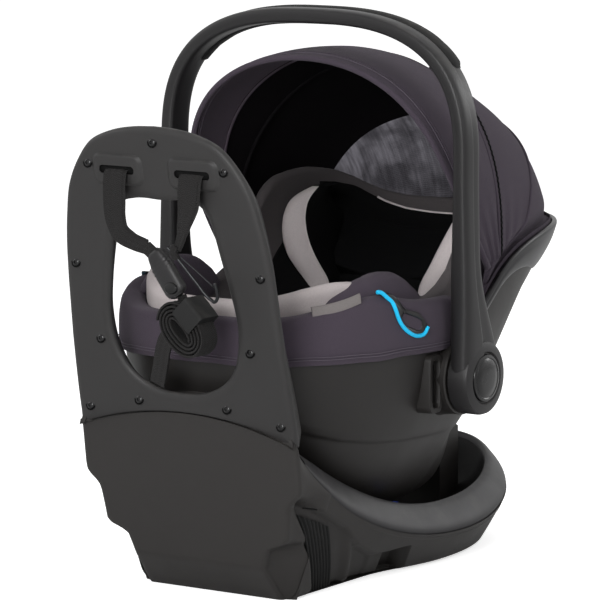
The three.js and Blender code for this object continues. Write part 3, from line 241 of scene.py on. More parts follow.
def skin(
    name: str,
    rows: np.ndarray,
    around: bool = False,
    along: bool = False,
    caps: bool = False,
    sharp: float | None = None,
) -> bpy.types.Object:
    """Skins a (rows, columns, 3) array of points with quads.

    The u of its map runs along each row and the v from row to row, both as mean distances in metres.

    Args:
        name: name of the piece.
        rows: points in millimetres.
        around: whether the last column joins the first.
        along: whether the last row joins the first.
        caps: whether the first and last rows are closed by a fan to their middle.
        sharp: edges that turn by more than this many degrees are shaded sharp.

    Returns:
        The new object.
    """
    nv, nu = rows.shape[:2]
    wide, tall = (nu if around else nu - 1), (nv if along else nv - 1)
    i, j = np.meshgrid(np.arange(tall), np.arange(wide), indexing="ij")
    i, j = i.ravel(), j.ravel()
    i1, j1 = i + 1, j + 1
    quads = np.stack([i * nu + j, i * nu + j1 % nu, (i1 % nv) * nu + j1 % nu, (i1 % nv) * nu + j], axis=1)
    across = np.linalg.norm(np.diff(np.concatenate([rows, rows[:, :1]], axis=1), axis=1), axis=2)
    down = np.linalg.norm(np.diff(np.concatenate([rows, rows[:1]], axis=0), axis=0), axis=2)
    u = np.concatenate([[0], np.cumsum(across.mean(axis=0))]) * MM
    v = np.concatenate([[0], np.cumsum(down.mean(axis=1))]) * MM
    uvs = np.stack([np.stack([u[j], v[i]], 1), np.stack([u[j1], v[i]], 1),
                    np.stack([u[j1], v[i1]], 1), np.stack([u[j], v[i1]], 1)], axis=1).reshape(-1, 2)
    verts = rows.reshape(-1, 3)
    faces = list(quads)
    if caps:
        first, last = rows[0].mean(axis=0), rows[-1].mean(axis=0)
        base, ring = len(verts), np.arange(nu if around else nu - 1)
        after = (ring + 1) % nu
        far = (nv - 1) * nu
        tris = [np.stack([after, ring, np.full_like(ring, base)], axis=1),
                np.stack([far + ring, far + after, np.full_like(ring, base + 1)], axis=1)]
        verts = np.concatenate([verts, [first, last]])
        faces += list(np.concatenate(tris))
        flat_uv = verts[np.concatenate(tris).ravel()][:, :2] * MM
        uvs = np.concatenate([uvs, flat_uv])
    obj = mesh_object(name, verts, faces, uvs)
    if sharp is not None:
        obj.data.set_sharp_from_angle(angle=math.radians(sharp))
    return obj


def normals(rows: np.ndarray) -> np.ndarray:
    """Surface normals of a (rows, columns, 3) array, from its slopes both ways."""
    return unit(np.cross(np.gradient(rows, axis=1), np.gradient(rows, axis=0)))


def sheet(
    name: str, rows: np.ndarray, thickness: float, around: bool = False, edge: int = 3
) -> bpy.types.Object:
    """Closes a surface into a thin sheet with round edges.

    The far side stands off along the surface's normals, and half circles close the rows' two ends.

    Args:
        name: name of the piece.
        rows: the near side, in millimetres.
        thickness: how thick the sheet is; below 0 it grows the other way.
        around: whether each row is a closed ring.
        edge: number of steps in each round edge.

    Returns:
        The new object.
    """
    away = normals(rows)
    if around:
        wrapped = np.concatenate([rows[:, -1:], rows, rows[:, :1]], axis=1)
        away = normals(wrapped)[:, 1:-1]
    middle = rows + away * thickness / 2
    turn = np.linspace(0, math.pi, edge + 2)[1:-1]
    ends = []
    for line, beside, lean in ((-1, -2, away[-1]), (0, 1, away[0])):
        out = unit(rows[line] - rows[beside]) * abs(thickness) / 2
        arc = [middle[line] + out * math.sin(t) - lean * thickness / 2 * math.cos(t) for t in turn]
        ends.append(np.stack(arc if line == -1 else arc[::-1]))
    far = rows + away * thickness
    loop = np.concatenate([rows, ends[0], far[::-1], ends[1]])
    return skin(name, loop, around=around, along=True, caps=False) if around else _closed_sheet(name, loop)


def _closed_sheet(name: str, loop: np.ndarray) -> bpy.types.Object:
    """Skins a ring of lines and closes both of its open sides with flat strips."""
    nv, nu = loop.shape[:2]
    turned = loop.transpose(1, 0, 2)
    obj = skin(name, turned, around=True)
    bm_faces = []
    half = nv // 2
    for column in (0, nu - 1):
        near, far = np.arange(half), nv - 1 - np.arange(half)
        for k in range(half - 1):
            bm_faces.append([column * nv + near[k], column * nv + near[k + 1],
                             column * nv + far[k + 1], column * nv + far[k]])
    mesh = obj.data
    verts = turned.reshape(-1, 3)
    faces = [list(p.vertices) for p in mesh.polygons] + bm_faces
    uvs = np.empty(len(mesh.loops) * 2, np.float32)
    mesh.uv_layers[0].data.foreach_get("uv", uvs)
    extra = verts[np.array(bm_faces).ravel()][:, :2] * MM
    whole = np.concatenate([uvs.reshape(-1, 2), extra])
    bpy.data.objects.remove(obj)
    bpy.data.meshes.remove(mesh)
    return mesh_object(name, verts, faces, whole)


def sweep(
    name: str, path: np.ndarray, side: np.ndarray, section: np.ndarray, sharp: float | None = None
) -> bpy.types.Object:
    """Runs a section along a path and closes its ends.

    Args:
        name: name of the piece.
        path: (n, 3) points in millimetres.
        side: (n, 3) directions of the section's first axis, made square to the path.
        section: (m, 2) or (n, m, 2) outline in the section's plane.
        sharp: as in skin.

    Returns:
        The new object.
    """
    return skin(name, sweep_rows(path, side, section), around=True, caps=True, sharp=sharp)


def sweep_rows(path: np.ndarray, side: np.ndarray, section: np.ndarray) -> np.ndarray:
    """The rows of a sweep: a section carried square to a path."""
    ahead = unit(np.gradient(path, axis=0))
    side = np.broadcast_to(np.asarray(side, float), path.shape)
    side = unit(side - ahead * np.sum(side * ahead, axis=1, keepdims=True))
    up = np.cross(ahead, side)
    section = np.broadcast_to(section, (len(path),) + np.asarray(section).shape[-2:])
    return path[:, None] + section[..., :1] * side[:, None] + section[..., 1:] * up[:, None]


def lathe(name: str, profile: Sequence[tuple[float, float]], centre: Sequence[float], axis: Sequence[float],
          count: int = 40, stretch: float = 1.0) -> bpy.types.Object:
    """Turns a profile round an axis.

    Args:
        name: name of the piece.
        profile: (radius, height along the axis) pairs.
        centre: where the axis starts.
        axis: direction of the axis.
        count: points round each ring.
        stretch: how much wider the rings are along their first direction.

    Returns:
        The new object.
    """
    ahead = unit(np.array(axis, float))
    first = unit(np.cross(ahead, [0, 0, 1]) if abs(ahead[2]) < 0.9 else np.array([1.0, 0, 0]))
    second = np.cross(ahead, first)
    turn = np.linspace(0, 2 * math.pi, count, endpoint=False)
    r, h = np.array(profile, float).T
    ring = np.cos(turn)[:, None] * first * stretch + np.sin(turn)[:, None] * second
    rows = np.array(centre, float) + r[:, None, None] * ring[None] + h[:, None, None] * ahead
    return skin(name, rows, around=True, caps=True, sharp=40)


# ---------------------------------------------------------------- shader effects
class Graph:
    """Short ways to add and join the nodes of one tree."""

    def __init__(self, tree: bpy.types.NodeTree) -> None:
        """Empties the tree."""
        self.tree = tree
        tree.nodes.clear()

    def add(self, kind: str, inputs: dict | None = None, **settings: object) -> bpy.types.Node:
        """Adds a shader node.

        Args:
            kind: the node's type name without its ShaderNode prefix.
            inputs: values or sockets for its inputs, by name or number.
            settings: properties of the node.

        Returns:
            The node.
        """
        node = self.tree.nodes.new("ShaderNode" + kind)
        for key, value in settings.items():
            setattr(node, key, value)
        for key, value in (inputs or {}).items():
            if isinstance(value, bpy.types.NodeSocket):
                self.tree.links.new(value, node.inputs[key])
            else:
                node.inputs[key].default_value = value
        return node

    def math(self, operation: str, *values: object) -> bpy.types.NodeSocket:
        """Adds a math node and returns its result."""
        return self.add("Math", dict(enumerate(values)), operation=operation).outputs[0]

    def span(self, value: object, low: float, high: float, to: tuple = (0.0, 1.0)) -> bpy.types.NodeSocket:
        """Eases a value from one range to another."""
        inputs = {"Value": value, "From Min": low, "From Max": high, "To Min": to[0], "To Max": to[1]}
        return self.add("MapRange", inputs, interpolation_type="SMOOTHSTEP").outputs[0]

    def mix(self, factor: object, a: object, b: object) -> bpy.types.NodeSocket:
        """Mixes two colours."""
        return self.add("Mix", {0: factor, 6: a, 7: b}, data_type="RGBA").outputs[2]

    def noise(self, where: object, scale: object, detail: float = 3.0) -> bpy.types.NodeSocket:
        """Noise between 0 and 1 at a place."""
        return self.add("TexNoise", {"Vector": where, "Scale": scale, "Detail": detail}).outputs["Fac"]


def effect(
    name: str, inputs: dict[str, float], outputs: Sequence[str], build: Callable
) -> bpy.types.NodeTree:
    """Makes a shared effect as a node group.

    Args:
        name: name of the group.
        inputs: its number inputs and their defaults.
        outputs: names of its number outputs.
        build: function of (graph, input sockets) that returns the output sockets in order.

    Returns:
        The group.
    """
    tree = bpy.data.node_groups.new(name, "ShaderNodeTree")
    for key, value in inputs.items():
        tree.interface.new_socket(key, in_out="INPUT", socket_type="NodeSocketFloat").default_value = value
    for key in outputs:
        tree.interface.new_socket(key, in_out="OUTPUT", socket_type="NodeSocketFloat")
    graph = Graph(tree)
    entry = tree.nodes.new("NodeGroupInput")
    leave = tree.nodes.new("NodeGroupOutput")
    for key, socket in zip(outputs, build(graph, entry.outputs)):
        tree.links.new(socket, leave.inputs[key])
    return tree


def _moulded(g: Graph, i: dict) -> list:
    """Fine pebbled grain with slow changes of tone and gloss."""
    where = g.add("TexCoord").outputs["Object"]
    cells = g.add("TexVoronoi", {"Vector": where, "Scale": i["Scale"]}, feature="SMOOTH_F1")
    cells = cells.outputs["Distance"]
    fine = g.noise(where, g.math("MULTIPLY", i["Scale"], 2.3), 4.0)
    height = g.math("MULTIPLY", g.math("ADD", cells, g.math("MULTIPLY", fine, 0.6)), i["Depth"])
    slow = g.noise(where, 7.0, 4.0)
    speck = g.noise(where, 1400.0, 1.0)
    tone = g.math("ADD", g.math("MULTIPLY", g.math("SUBTRACT", slow, 0.5), i["Mottle"]),
                  g.math("MULTIPLY", g.math("SUBTRACT", speck, 0.5), g.math("MULTIPLY", i["Mottle"], 0.6)))
    gloss = g.math("MULTIPLY", g.math("SUBTRACT", g.noise(where, 34.0, 5.0), 0.5), i["Smudge"])
    return [height, g.math("ADD", tone, 1.0), gloss]


def _dusty(g: Graph, i: dict) -> list:
    """Faint dust where a surface faces up, broken up by noise."""
    coords = g.add("TexCoord")
    up = g.add("SeparateXYZ", {0: coords.outputs["Normal"]}).outputs[2]
    patch = g.noise(coords.outputs["Object"], 60.0, 6.0)
    mask = g.math("MULTIPLY", g.span(up, 0.2, 1.0), g.span(patch, 0.42, 0.72))
    return [g.math("MULTIPLY", mask, i["Amount"])]


def _edge_wear_and_highlight(g: Graph, i: dict) -> list:
    """Polished or fuzzed edges, from the piece's own edge values and noise."""
    edge = g.add("Attribute", attribute_name="edge", attribute_type="GEOMETRY").outputs["Fac"]
    patch = g.noise(g.add("TexCoord").outputs["Object"], 90.0, 4.0)
    # Mask for edges lightened as wear and as painted highlight.
    return [g.math("MULTIPLY", g.math("MULTIPLY", edge, g.span(patch, 0.3, 0.7, (0.45, 1.0))), i["Amount"])]


def _woven(g: Graph, i: dict) -> list:
    """Plain weave: threads across and along take turns to lie on top."""
    where = g.add("UVMap", uv_map="surface").outputs[0]
    part = g.add("SeparateXYZ", {0: where})
    u, v = (g.math("MULTIPLY", part.outputs[k], i["Count"]) for k in (0, 1))
    turn = g.math("MODULO", g.math("ADD", g.math("FLOOR", u), g.math("FLOOR", v)), 2.0)
    ridge_u, ridge_v = (g.math("ABSOLUTE", g.math("SINE", g.math("MULTIPLY", k, math.pi))) for k in (u, v))
    top = g.math("ADD", g.math("MULTIPLY", ridge_u, turn),
                 g.math("MULTIPLY", ridge_v, g.math("SUBTRACT", 1.0, turn)))
    yarn = g.noise(g.add("TexCoord").outputs["Object"], 900.0, 2.0)
    tone = g.math("ADD", 1.0, g.math("MULTIPLY", g.math("SUBTRACT", yarn, 0.5), i["Heather"]))
    return [g.math("MULTIPLY", top, i["Depth"]), tone]


def _ribbed(g: Graph, i: dict) -> list:
    """Webbing: tight chevrons between two rounded edge cords."""
    part = g.add("SeparateXYZ", {0: g.add("UVMap", uv_map="surface").outputs[0]})
    u, v = part.outputs[0], part.outputs[1]
    fold = g.math("PINGPONG", u, 0.0035)
    row = g.math("MULTIPLY", g.math("ADD", v, g.math("MULTIPLY", fold, 0.6)), i["Count"])
    rib = g.math("ABSOLUTE", g.math("SINE", g.math("MULTIPLY", row, math.pi)))
    # Painted shade: the colour darkens in the grooves between ribs and lightens on their tops.
    return [g.math("MULTIPLY", rib, i["Depth"]), g.span(rib, 0.0, 0.7, (0.62, 1.08))]


def _meshed(g: Graph, i: dict) -> list:
    """Net cloth: small round holes, with cloudy light through it."""
    part = g.add("UVMap", uv_map="surface").outputs[0]
    holes = g.add("TexVoronoi", {"Vector": part, "Scale": i["Count"], "Randomness": 0.25}).outputs["Distance"]
    where = g.add("TexCoord").outputs["Object"]
    place_at = g.add("SeparateXYZ", {0: where}).outputs
    # Painted light: the glow is strongest high up and towards one side of the net.
    high, across = g.span(place_at[2], 0.36, 0.45, (0.15, 1.0)), g.span(place_at[0], 0.06, -0.08, (0.35, 1.0))
    lift = g.math("MULTIPLY", high, across)
    threads = g.add("VectorMath", {0: part, 1: (26.0, 200.0, 1.0)}, operation="MULTIPLY").outputs[0]
    streaks = g.span(g.noise(threads, 1.0, 6.0), 0.3, 0.7, (0.4, 1.0))
    painted_light = g.math("MULTIPLY", g.span(g.noise(where, 24.0, 6.0), 0.35, 0.62, (0.3, 1.0)), streaks)
    return [g.span(holes, 0.2, 0.45), g.math("MULTIPLY", painted_light, lift)]


class Pattern(Enum):
    """What a finish's surface is made of."""

    MOULDED = "moulded"
    WOVEN = "woven"
    RIBBED = "ribbed"
    MESHED = "meshed"


EFFECTS = {
    "moulded": effect("moulded_grain", {"Scale": 900.0, "Depth": 1.0, "Mottle": 0.1, "Smudge": 0.1},
                      ["Height", "Tone", "Gloss"], _moulded),
    "dust": effect("settled_dust", {"Amount": 0.1}, ["Mask"], _dusty),
    "wear_and_highlight": effect("edges_worn_and_highlit", {"Amount": 0.2}, ["Mask"], _edge_wear_and_highlight),
    "woven": effect(
        "plain_weave", {"Count": 1300.0, "Depth": 1.0, "Heather": 0.3}, ["Height", "Tone"], _woven),
    "ribbed": effect("webbing_ribs", {"Count": 500.0, "Depth": 1.0}, ["Height", "Tone"], _ribbed),
    "meshed": effect("net_cloth", {"Count": 700.0}, ["Solid", "PaintedLight"], _meshed),
}


def linear(colour: str) -> tuple[float, float, float, float]:
    """Turns a written rrggbb colour into linear light."""
    parts = [int(colour[k:k + 2], 16) / 255 for k in (0, 2, 4)]
    return tuple(c / 12.92 if c <= 0.04045 else ((c + 0.055) / 1.055) ** 2.4 for c in parts) + (1.0,)


@dataclass(frozen=True)
class Finish:
    """One surface finish, built as a procedural material on first use."""

    name: str
    colour: str
    roughness: float
    pattern: Pattern = Pattern.MOULDED
    grain: float = 1100.0  # grains or threads to the metre
    depth: float = 0.06  # bump distance, in millimetres
    mottle: float = 0.16
    smudge: float = 0.12
    dust: float = 0.05
    # How much edges are lightened, as wear and as painted highlight.
    wear_and_highlight: float = 0.25
    coat: float = 0.0
    sheen: float = 0.0
    metallic: float = 0.0
    specular: float = 0.5
    # Colour of painted light given off as emission, as by a net lit from behind; black for none.
    painted_glow: str = "000000"

    def material(self) -> bpy.types.Material:
        """The material, made once."""
        return bpy.data.materials.get(f"look_{self.name}") or self._build()

    def _group(self, graph: Graph, key: str, **inputs: float) -> bpy.types.Node:
        """Adds one of the shared effects."""
        node = graph.add("Group", node_tree=EFFECTS[key])
        for name, value in inputs.items():
            node.inputs[name].default_value = value
        return node

    def _build(self) -> bpy.types.Material:
        """Puts the effects together in front of one Principled shader."""
        material = bpy.data.materials.new(f"look_{self.name}")
        material.use_nodes = True
        g = Graph(material.node_tree)
        base = self._group(g, "moulded", Scale=self.grain, Depth=1.0, Mottle=self.mottle, Smudge=self.smudge)
        height, tone = base.outputs["Height"], base.outputs["Tone"]
        painted_glow = None
        if self.pattern in (Pattern.WOVEN, Pattern.RIBBED):
            cloth = self._group(g, self.pattern.value, Count=self.grain)
            height = g.math("ADD", cloth.outputs["Height"], g.math("MULTIPLY", height, 0.25))
            tone = g.math("MULTIPLY", tone, cloth.outputs["Tone"])
        if self.pattern is Pattern.MESHED:
            net = self._group(g, "meshed", Count=self.grain)
            height = net.outputs["Solid"]
            tone = g.math("MULTIPLY", tone, g.span(net.outputs["Solid"], 0.0, 1.0, (0.5, 1.1)))
            painted_glow = net.outputs["PaintedLight"]
        plain = g.add("RGB")
        plain.outputs[0].default_value = linear(self.colour)
        tinted = g.add("VectorMath", {0: plain.outputs[0], "Scale": tone}, operation="SCALE").outputs[0]
        # Edges lightened up to twice, part wear and part painted highlight.
        wear_and_highlight = self._group(g, "wear_and_highlight", Amount=self.wear_and_highlight).outputs["Mask"]
        lighter = g.add("VectorMath", {0: tinted, "Scale": 2.1}, operation="SCALE").outputs[0]
        worn_and_highlit = g.mix(wear_and_highlight, tinted, lighter)
        dust = self._group(g, "dust", Amount=self.dust).outputs["Mask"]
        dusted = g.mix(dust, worn_and_highlit, linear("a39d95"))
        rough = g.math("ADD", base.outputs["Gloss"], self.roughness)
        rough = g.math("ADD", rough, g.math("MULTIPLY", dust, 0.3))
        bump = g.add("Bump", {"Height": height, "Distance": self.depth * MM, "Strength": 1.0})
        sockets = {"Base Color": dusted, "Roughness": rough, "Normal": bump.outputs[0]}
        shader = g.add("BsdfPrincipled", sockets)
        for key, value in (("Metallic", self.metallic), ("Coat Weight", self.coat),
                           ("Sheen Weight", self.sheen), ("Specular IOR Level", self.specular),
                           ("Coat Roughness", 0.12), ("Sheen Roughness", 0.45)):
            shader.inputs[key].default_value = value
        # Painted light: emission stands in for the light that comes through the net.
        if painted_glow is not None:
            lit = g.mix(painted_glow, (0.0, 0.0, 0.0, 1.0), linear(self.painted_glow))
            g.tree.links.new(lit, shader.inputs["Emission Color"])
            shader.inputs["Emission Strength"].default_value = 1.0
        out = g.add("OutputMaterial", {"Surface": shader.outputs[0]})
        out.is_active_output = True
        return material


SHELL = Finish("shell_satin", "1c1a19", 0.5, depth=0.03, specular=0.3)
BASE = Finish("base_grained", "211f1e", 0.56, grain=900, depth=0.06, mottle=0.2, specular=0.3)
BAND = Finish("base_satin", "1d1c1e", 0.5, grain=1300, depth=0.03, specular=0.3)
PANEL = Finish("panel_grained", "222121", 0.52, grain=900, depth=0.05, specular=0.32)
BOWL = Finish("bowl_dark", "121111", 0.55, specular=0.3)
GLOSS = Finish("rim_gloss", "121114", 0.38, depth=0.01, smudge=0.08, coat=0.05, specular=0.22)
BLACK_GLOSS = Finish("black_gloss", "080809", 0.28, depth=0.006, smudge=0.06, coat=0.1, specular=0.3)
HANDLE = Finish("handle_satin", "1a191a", 0.42, depth=0.02, specular=0.3)
RUBBER = Finish("dark_rubber", "121212", 0.7, grain=700, depth=0.1, specular=0.25)
CLOTH = Finish(
    "charcoal_cloth", "423b44", 0.9, Pattern.WOVEN, 1500, 0.12, 0.12, dust=0.02, sheen=0.05, specular=0.1)
FACING = Finish(
    "facing_cloth", "4d454e", 0.9, Pattern.WOVEN, 1500, 0.12, 0.12, dust=0.0, sheen=0.04, specular=0.1)
LINING = Finish("lining_cloth", "110f11", 0.95, Pattern.WOVEN, 1300, 0.1, dust=0.0, specular=0.05)
WALL_CLOTH = Finish(
    "wall_cloth", "4e4a4b", 0.88, Pattern.WOVEN, 1400, 0.1, dust=0.0, sheen=0.05, specular=0.1)
GREY = Finish(
    "light_grey_cloth", "d2c9c9", 0.9, Pattern.WOVEN, 1400, 0.12, dust=0.0, sheen=0.05, specular=0.1)
# Painted shade: the light grey cloth of GREY, made darker because the foot cushion lies in shade.
FOOT_GREY_SHADED = Finish(
    "foot_grey_cloth_shaded", "b2aaaa", 0.9, Pattern.WOVEN, 1400, 0.12, dust=0.0, sheen=0.05, specular=0.1)
BLACK_CLOTH = Finish("black_cloth", "0a0a0b", 0.85, Pattern.WOVEN, 1200, 0.12, dust=0.0, specular=0.1)
# The net window gives off painted light: a grey glow through its holes.
NET = Finish("net_cloth", "3c3a3f", 0.8, Pattern.MESHED, 700, 0.3, dust=0.0, specular=0.15, painted_glow="66646a")
WEBBING = Finish("webbing", "1c1b1b", 0.75, Pattern.RIBBED, 420, 0.4, dust=0.02, sheen=0.03, specular=0.15)
FOAM = Finish("foam", "2a2a2a", 0.9, grain=500, depth=0.2)
STEEL = Finish("steel", "8f9194", 0.25, metallic=1.0, depth=0.01)
BLACK_STEEL = Finish("black_steel", "1b1c1e", 0.32, metallic=0.6, depth=0.01)
SCREW = Finish("screw_black", "0b0b0c", 0.25, metallic=0.4, depth=0.01, dust=0.02)
RED = Finish("red_plastic", "b3231c", 0.4, depth=0.02)
CYAN = Finish("cyan_cord", "14b4e4", 0.5, depth=0.04, grain=1600, dust=0.02, specular=0.3)
FLUID = Finish("bubble_fluid", "2a4fd0", 0.12, coat=0.8, depth=0.004)
STITCH = Finish("stitching", "4d4650", 0.8, grain=2400, depth=0.1, dust=0.0)
LABEL = Finish("label_ribbon", "6f6a69", 0.7, Pattern.WOVEN, 2200, 0.06, dust=0.0, specular=0.2)
# Painted shade: flat near-black pieces where slots, recesses and slits lie in shade.
PAINTED_SHADE = Finish("deep_shadow", "050505", 0.8, dust=0.0, specular=0.1)


def place(obj: bpy.types.Object, finish: Finish, body: str | None, *nodes: str) -> bpy.types.Object:
    """Gives a piece its finish, puts it on a body and says which part nodes it stands for."""
    obj.data.materials.clear()
    obj.data.materials.append(finish.material())
    if body:
        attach(obj, body)
    if nodes:
        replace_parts(obj, *nodes)
    return obj


def mirrored(points: np.ndarray) -> np.ndarray:
    """The same points on the other side of the middle plane."""
    return points * np.array([-1.0, 1.0, 1.0])


# ---------------------------------------------------------------- studio
@dataclass(frozen=True)
class Studio:
    """Camera, lights, floor and backdrop."""

    eye: tuple[float, float, float] = (2538.0, -3793.0, 942.0)
    azimuth: float = 34.0
    elevation: float = 8.03
    lens: float = 238.3
    floor_size: float = 60000.0

    def build(self) -> None:
        """Makes the whole studio."""
        scene = bpy.context.scene
        scene.view_settings.view_transform = "Standard"
        self._camera(scene)
        self._world(scene)
        self._floor()
        aim = np.array([0.0, 0.0, 300.0])
        for name, place_at, size, watts in (
            ("key_light", (700, -3100, 1300), 1300, 75),
            ("left_light", (-2500, -1400, 1600), 1000, 12),
            ("right_light", (2900, -500, 1600), 1000, 14),
            ("top_light", (200, 500, 2700), 1300, 8),
            ("back_light", (1300, 2400, 1300), 900, 14),
        ):
            self._light(name, np.array(place_at, float), aim, size, watts)

    def _camera(self, scene: bpy.types.Scene) -> None:
        """Stands the camera at its eye point."""
        a, e = math.radians(self.azimuth), math.radians(self.elevation)
        ahead = Vector((-math.sin(a) * math.cos(e), math.cos(a) * math.cos(e), -math.sin(e)))
        data = bpy.data.cameras.new("camera")
        data.lens, data.sensor_width = self.lens, 36.0
        data.clip_start, data.clip_end = 0.1, 60.0
        camera = bpy.data.objects.new("camera", data)
        camera.location = Vector(self.eye) * MM
        camera.rotation_euler = ahead.to_track_quat("-Z", "Y").to_euler()
        scene.collection.objects.link(camera)
        scene.camera = camera

    def _world(self, scene: bpy.types.Scene) -> None:
        """White to the camera, softer to everything else."""
        world = bpy.data.worlds.new("studio_world")
        world.use_nodes = True
        g = Graph(world.node_tree)
        path = g.add("LightPath").outputs
        seen = g.math("MAXIMUM", path["Is Camera Ray"], g.math("MAXIMUM", path["Is Glossy Ray"],
                                                               path["Is Transmission Ray"]))
        coords = g.add("TexCoord").outputs["Generated"]
        height = g.add("SeparateXYZ", {0: coords}).outputs[2]
        soft = g.span(height, 0.0, 1.0, (0.25, 0.65))
        strength = g.add("Mix", {0: seen, 2: soft, 3: 1.0}, data_type="FLOAT").outputs[0]
        back = g.add("Background", {"Color": (1.0, 1.0, 1.0, 1.0), "Strength": strength})
        g.add("OutputWorld", {"Surface": back.outputs[0]})
        scene.world = world

    def _floor(self) -> None:
        """A pale floor that keeps a soft shadow."""
        half = self.floor_size / 2
        corner = np.array([[-half, -half, 0], [half, -half, 0], [half, half, 0], [-half, half, 0]], float)
        floor = mesh_object("floor", corner, [[0, 1, 2, 3]])
        material = bpy.data.materials.new("pale_floor")
        material.use_nodes = True
        g = Graph(material.node_tree)
        seen = g.math("MULTIPLY", g.add("LightPath").outputs["Is Camera Ray"], 0.6)
        shader = g.add("BsdfPrincipled", {"Base Color": (0.93, 0.93, 0.93, 1.0), "Roughness": 0.9,
                                          "Specular IOR Level": 0.0, "Emission Color": (1.0, 1.0, 1.0, 1.0),
                                          "Emission Strength": seen})
        g.add("OutputMaterial", {"Surface": shader.outputs[0]})
        floor.data.materials.append(material)

    def _light(self, name: str, at: np.ndarray, aim: np.ndarray, size: float, watts: float) -> None:
        """Hangs one square soft box."""
        data = bpy.data.lights.new(name, "AREA")
        data.size, data.energy = size * MM, watts
        light = bpy.data.objects.new(name, data)
        light.location = Vector(at) * MM
        light.rotation_euler = Vector(aim - at).to_track_quat("-Z", "Y").to_euler()
        bpy.context.scene.collection.objects.link(light)


# ---------------------------------------------------------------- carrier
@dataclass(frozen=True)
class Bucket:
    """The carrier's outline: every meridian is a quarter superellipse down from the top edge."""

    half_width: float = 176.5
    foot: float = -245.0
    head: float = 345.0
    bottom: float = 50.0
    edge: float = 300.0
    plan: float = 3.0
    meridian: float = 2.2
    head_meridian: float = 1.2
    head_turn: float = 0.6
    rim_start: float = 62.0
    rim_low: float = 292.0
    rim_rise: float = 84.0
    rim_run: float = 62.0
    seat_low: float = 215.0
    seat_rise: float = 120.0

    @property
    def middle(self) -> float:
        """Y of the outline's middle."""
        return (self.foot + self.head) / 2

    @property
    def half_length(self) -> float:
        """Half of the outline's length."""
        return (self.head - self.foot) / 2

    def edge_height(self, y: np.ndarray) -> np.ndarray:
        """Height of the top edge at a y."""
        rim = self.rim_low + self.rim_rise * (1 - np.exp(-np.maximum(0, y - self.rim_start) / self.rim_run))
        return np.maximum(self.edge, rim)

    def edge_point(self, angle: np.ndarray, inset: np.ndarray) -> np.ndarray:
        """Points of the top edge, moved inwards by an inset."""
        x = (self.half_width - inset) * signed_power(np.cos(angle), 2 / self.plan)
        y = self.middle + (self.half_length - inset) * signed_power(np.sin(angle), 2 / self.plan)
        return np.stack([x, y, self.edge_height(y)], axis=-1)

    def power(self, angle: np.ndarray) -> np.ndarray:
        """Power of the meridian at a plan angle: round at the sides, nearly straight below the head end."""
        towards_head = smooth(-self.head_turn / 2, self.head_turn, np.sin(angle))
        return lerp(self.meridian, self.head_meridian, towards_head)

    def wall(self, angle: np.ndarray, inset: float, drop: np.ndarray) -> np.ndarray:
        """Points of the side, some way below the top edge."""
        top = self.edge_point(angle, inset)
        power = self.power(angle)
        down = np.clip(drop / (top[..., 2] - self.bottom), 0, 1)
        out = (1 - down ** power) ** (1 / power)
        y = lerp(self.middle, top[..., 1], out)
        return np.stack([top[..., 0] * out, y, top[..., 2] - drop], axis=-1)

    def point(self, angle: np.ndarray, fraction: np.ndarray, inset: np.ndarray, rise: np.ndarray = 0.0,
              floor: Callable | None = None) -> np.ndarray:
        """Points of the bucket.

        Args:
            angle: round the plan, in radians.
            fraction: 0 at the bottom and 1 at the top edge.
            inset: how far inside the outer face.
            rise: lift of the edge.
            floor: height of the bottom at a y, if not flat.

        Returns:
            Points of the arguments' broadcast shape.
        """
        angle, fraction, inset = np.broadcast_arrays(angle, fraction, inset)
        power = self.meridian
        if floor is None:
            power = lerp(self.power(angle), self.meridian, smooth(0.55, 0.2, fraction))
        out = np.maximum(0, np.sin(fraction * math.pi / 2)) ** (2 / power)
        down = np.maximum(0, np.cos(fraction * math.pi / 2)) ** (2 / power)
        top = self.edge_point(angle, inset)
        y = lerp(self.middle, top[..., 1], out)
        low = self.bottom + inset if floor is None else floor(y)
        return np.stack([top[..., 0] * out, y, lerp(top[..., 2] + rise, low, down)], axis=-1)

    def seat_floor(self, y: np.ndarray) -> np.ndarray:
        """Height of the lying surface before it curves up to the sides."""
        return self.seat_low + self.seat_rise * smooth(-30, 260, y)


BUCKET = Bucket()


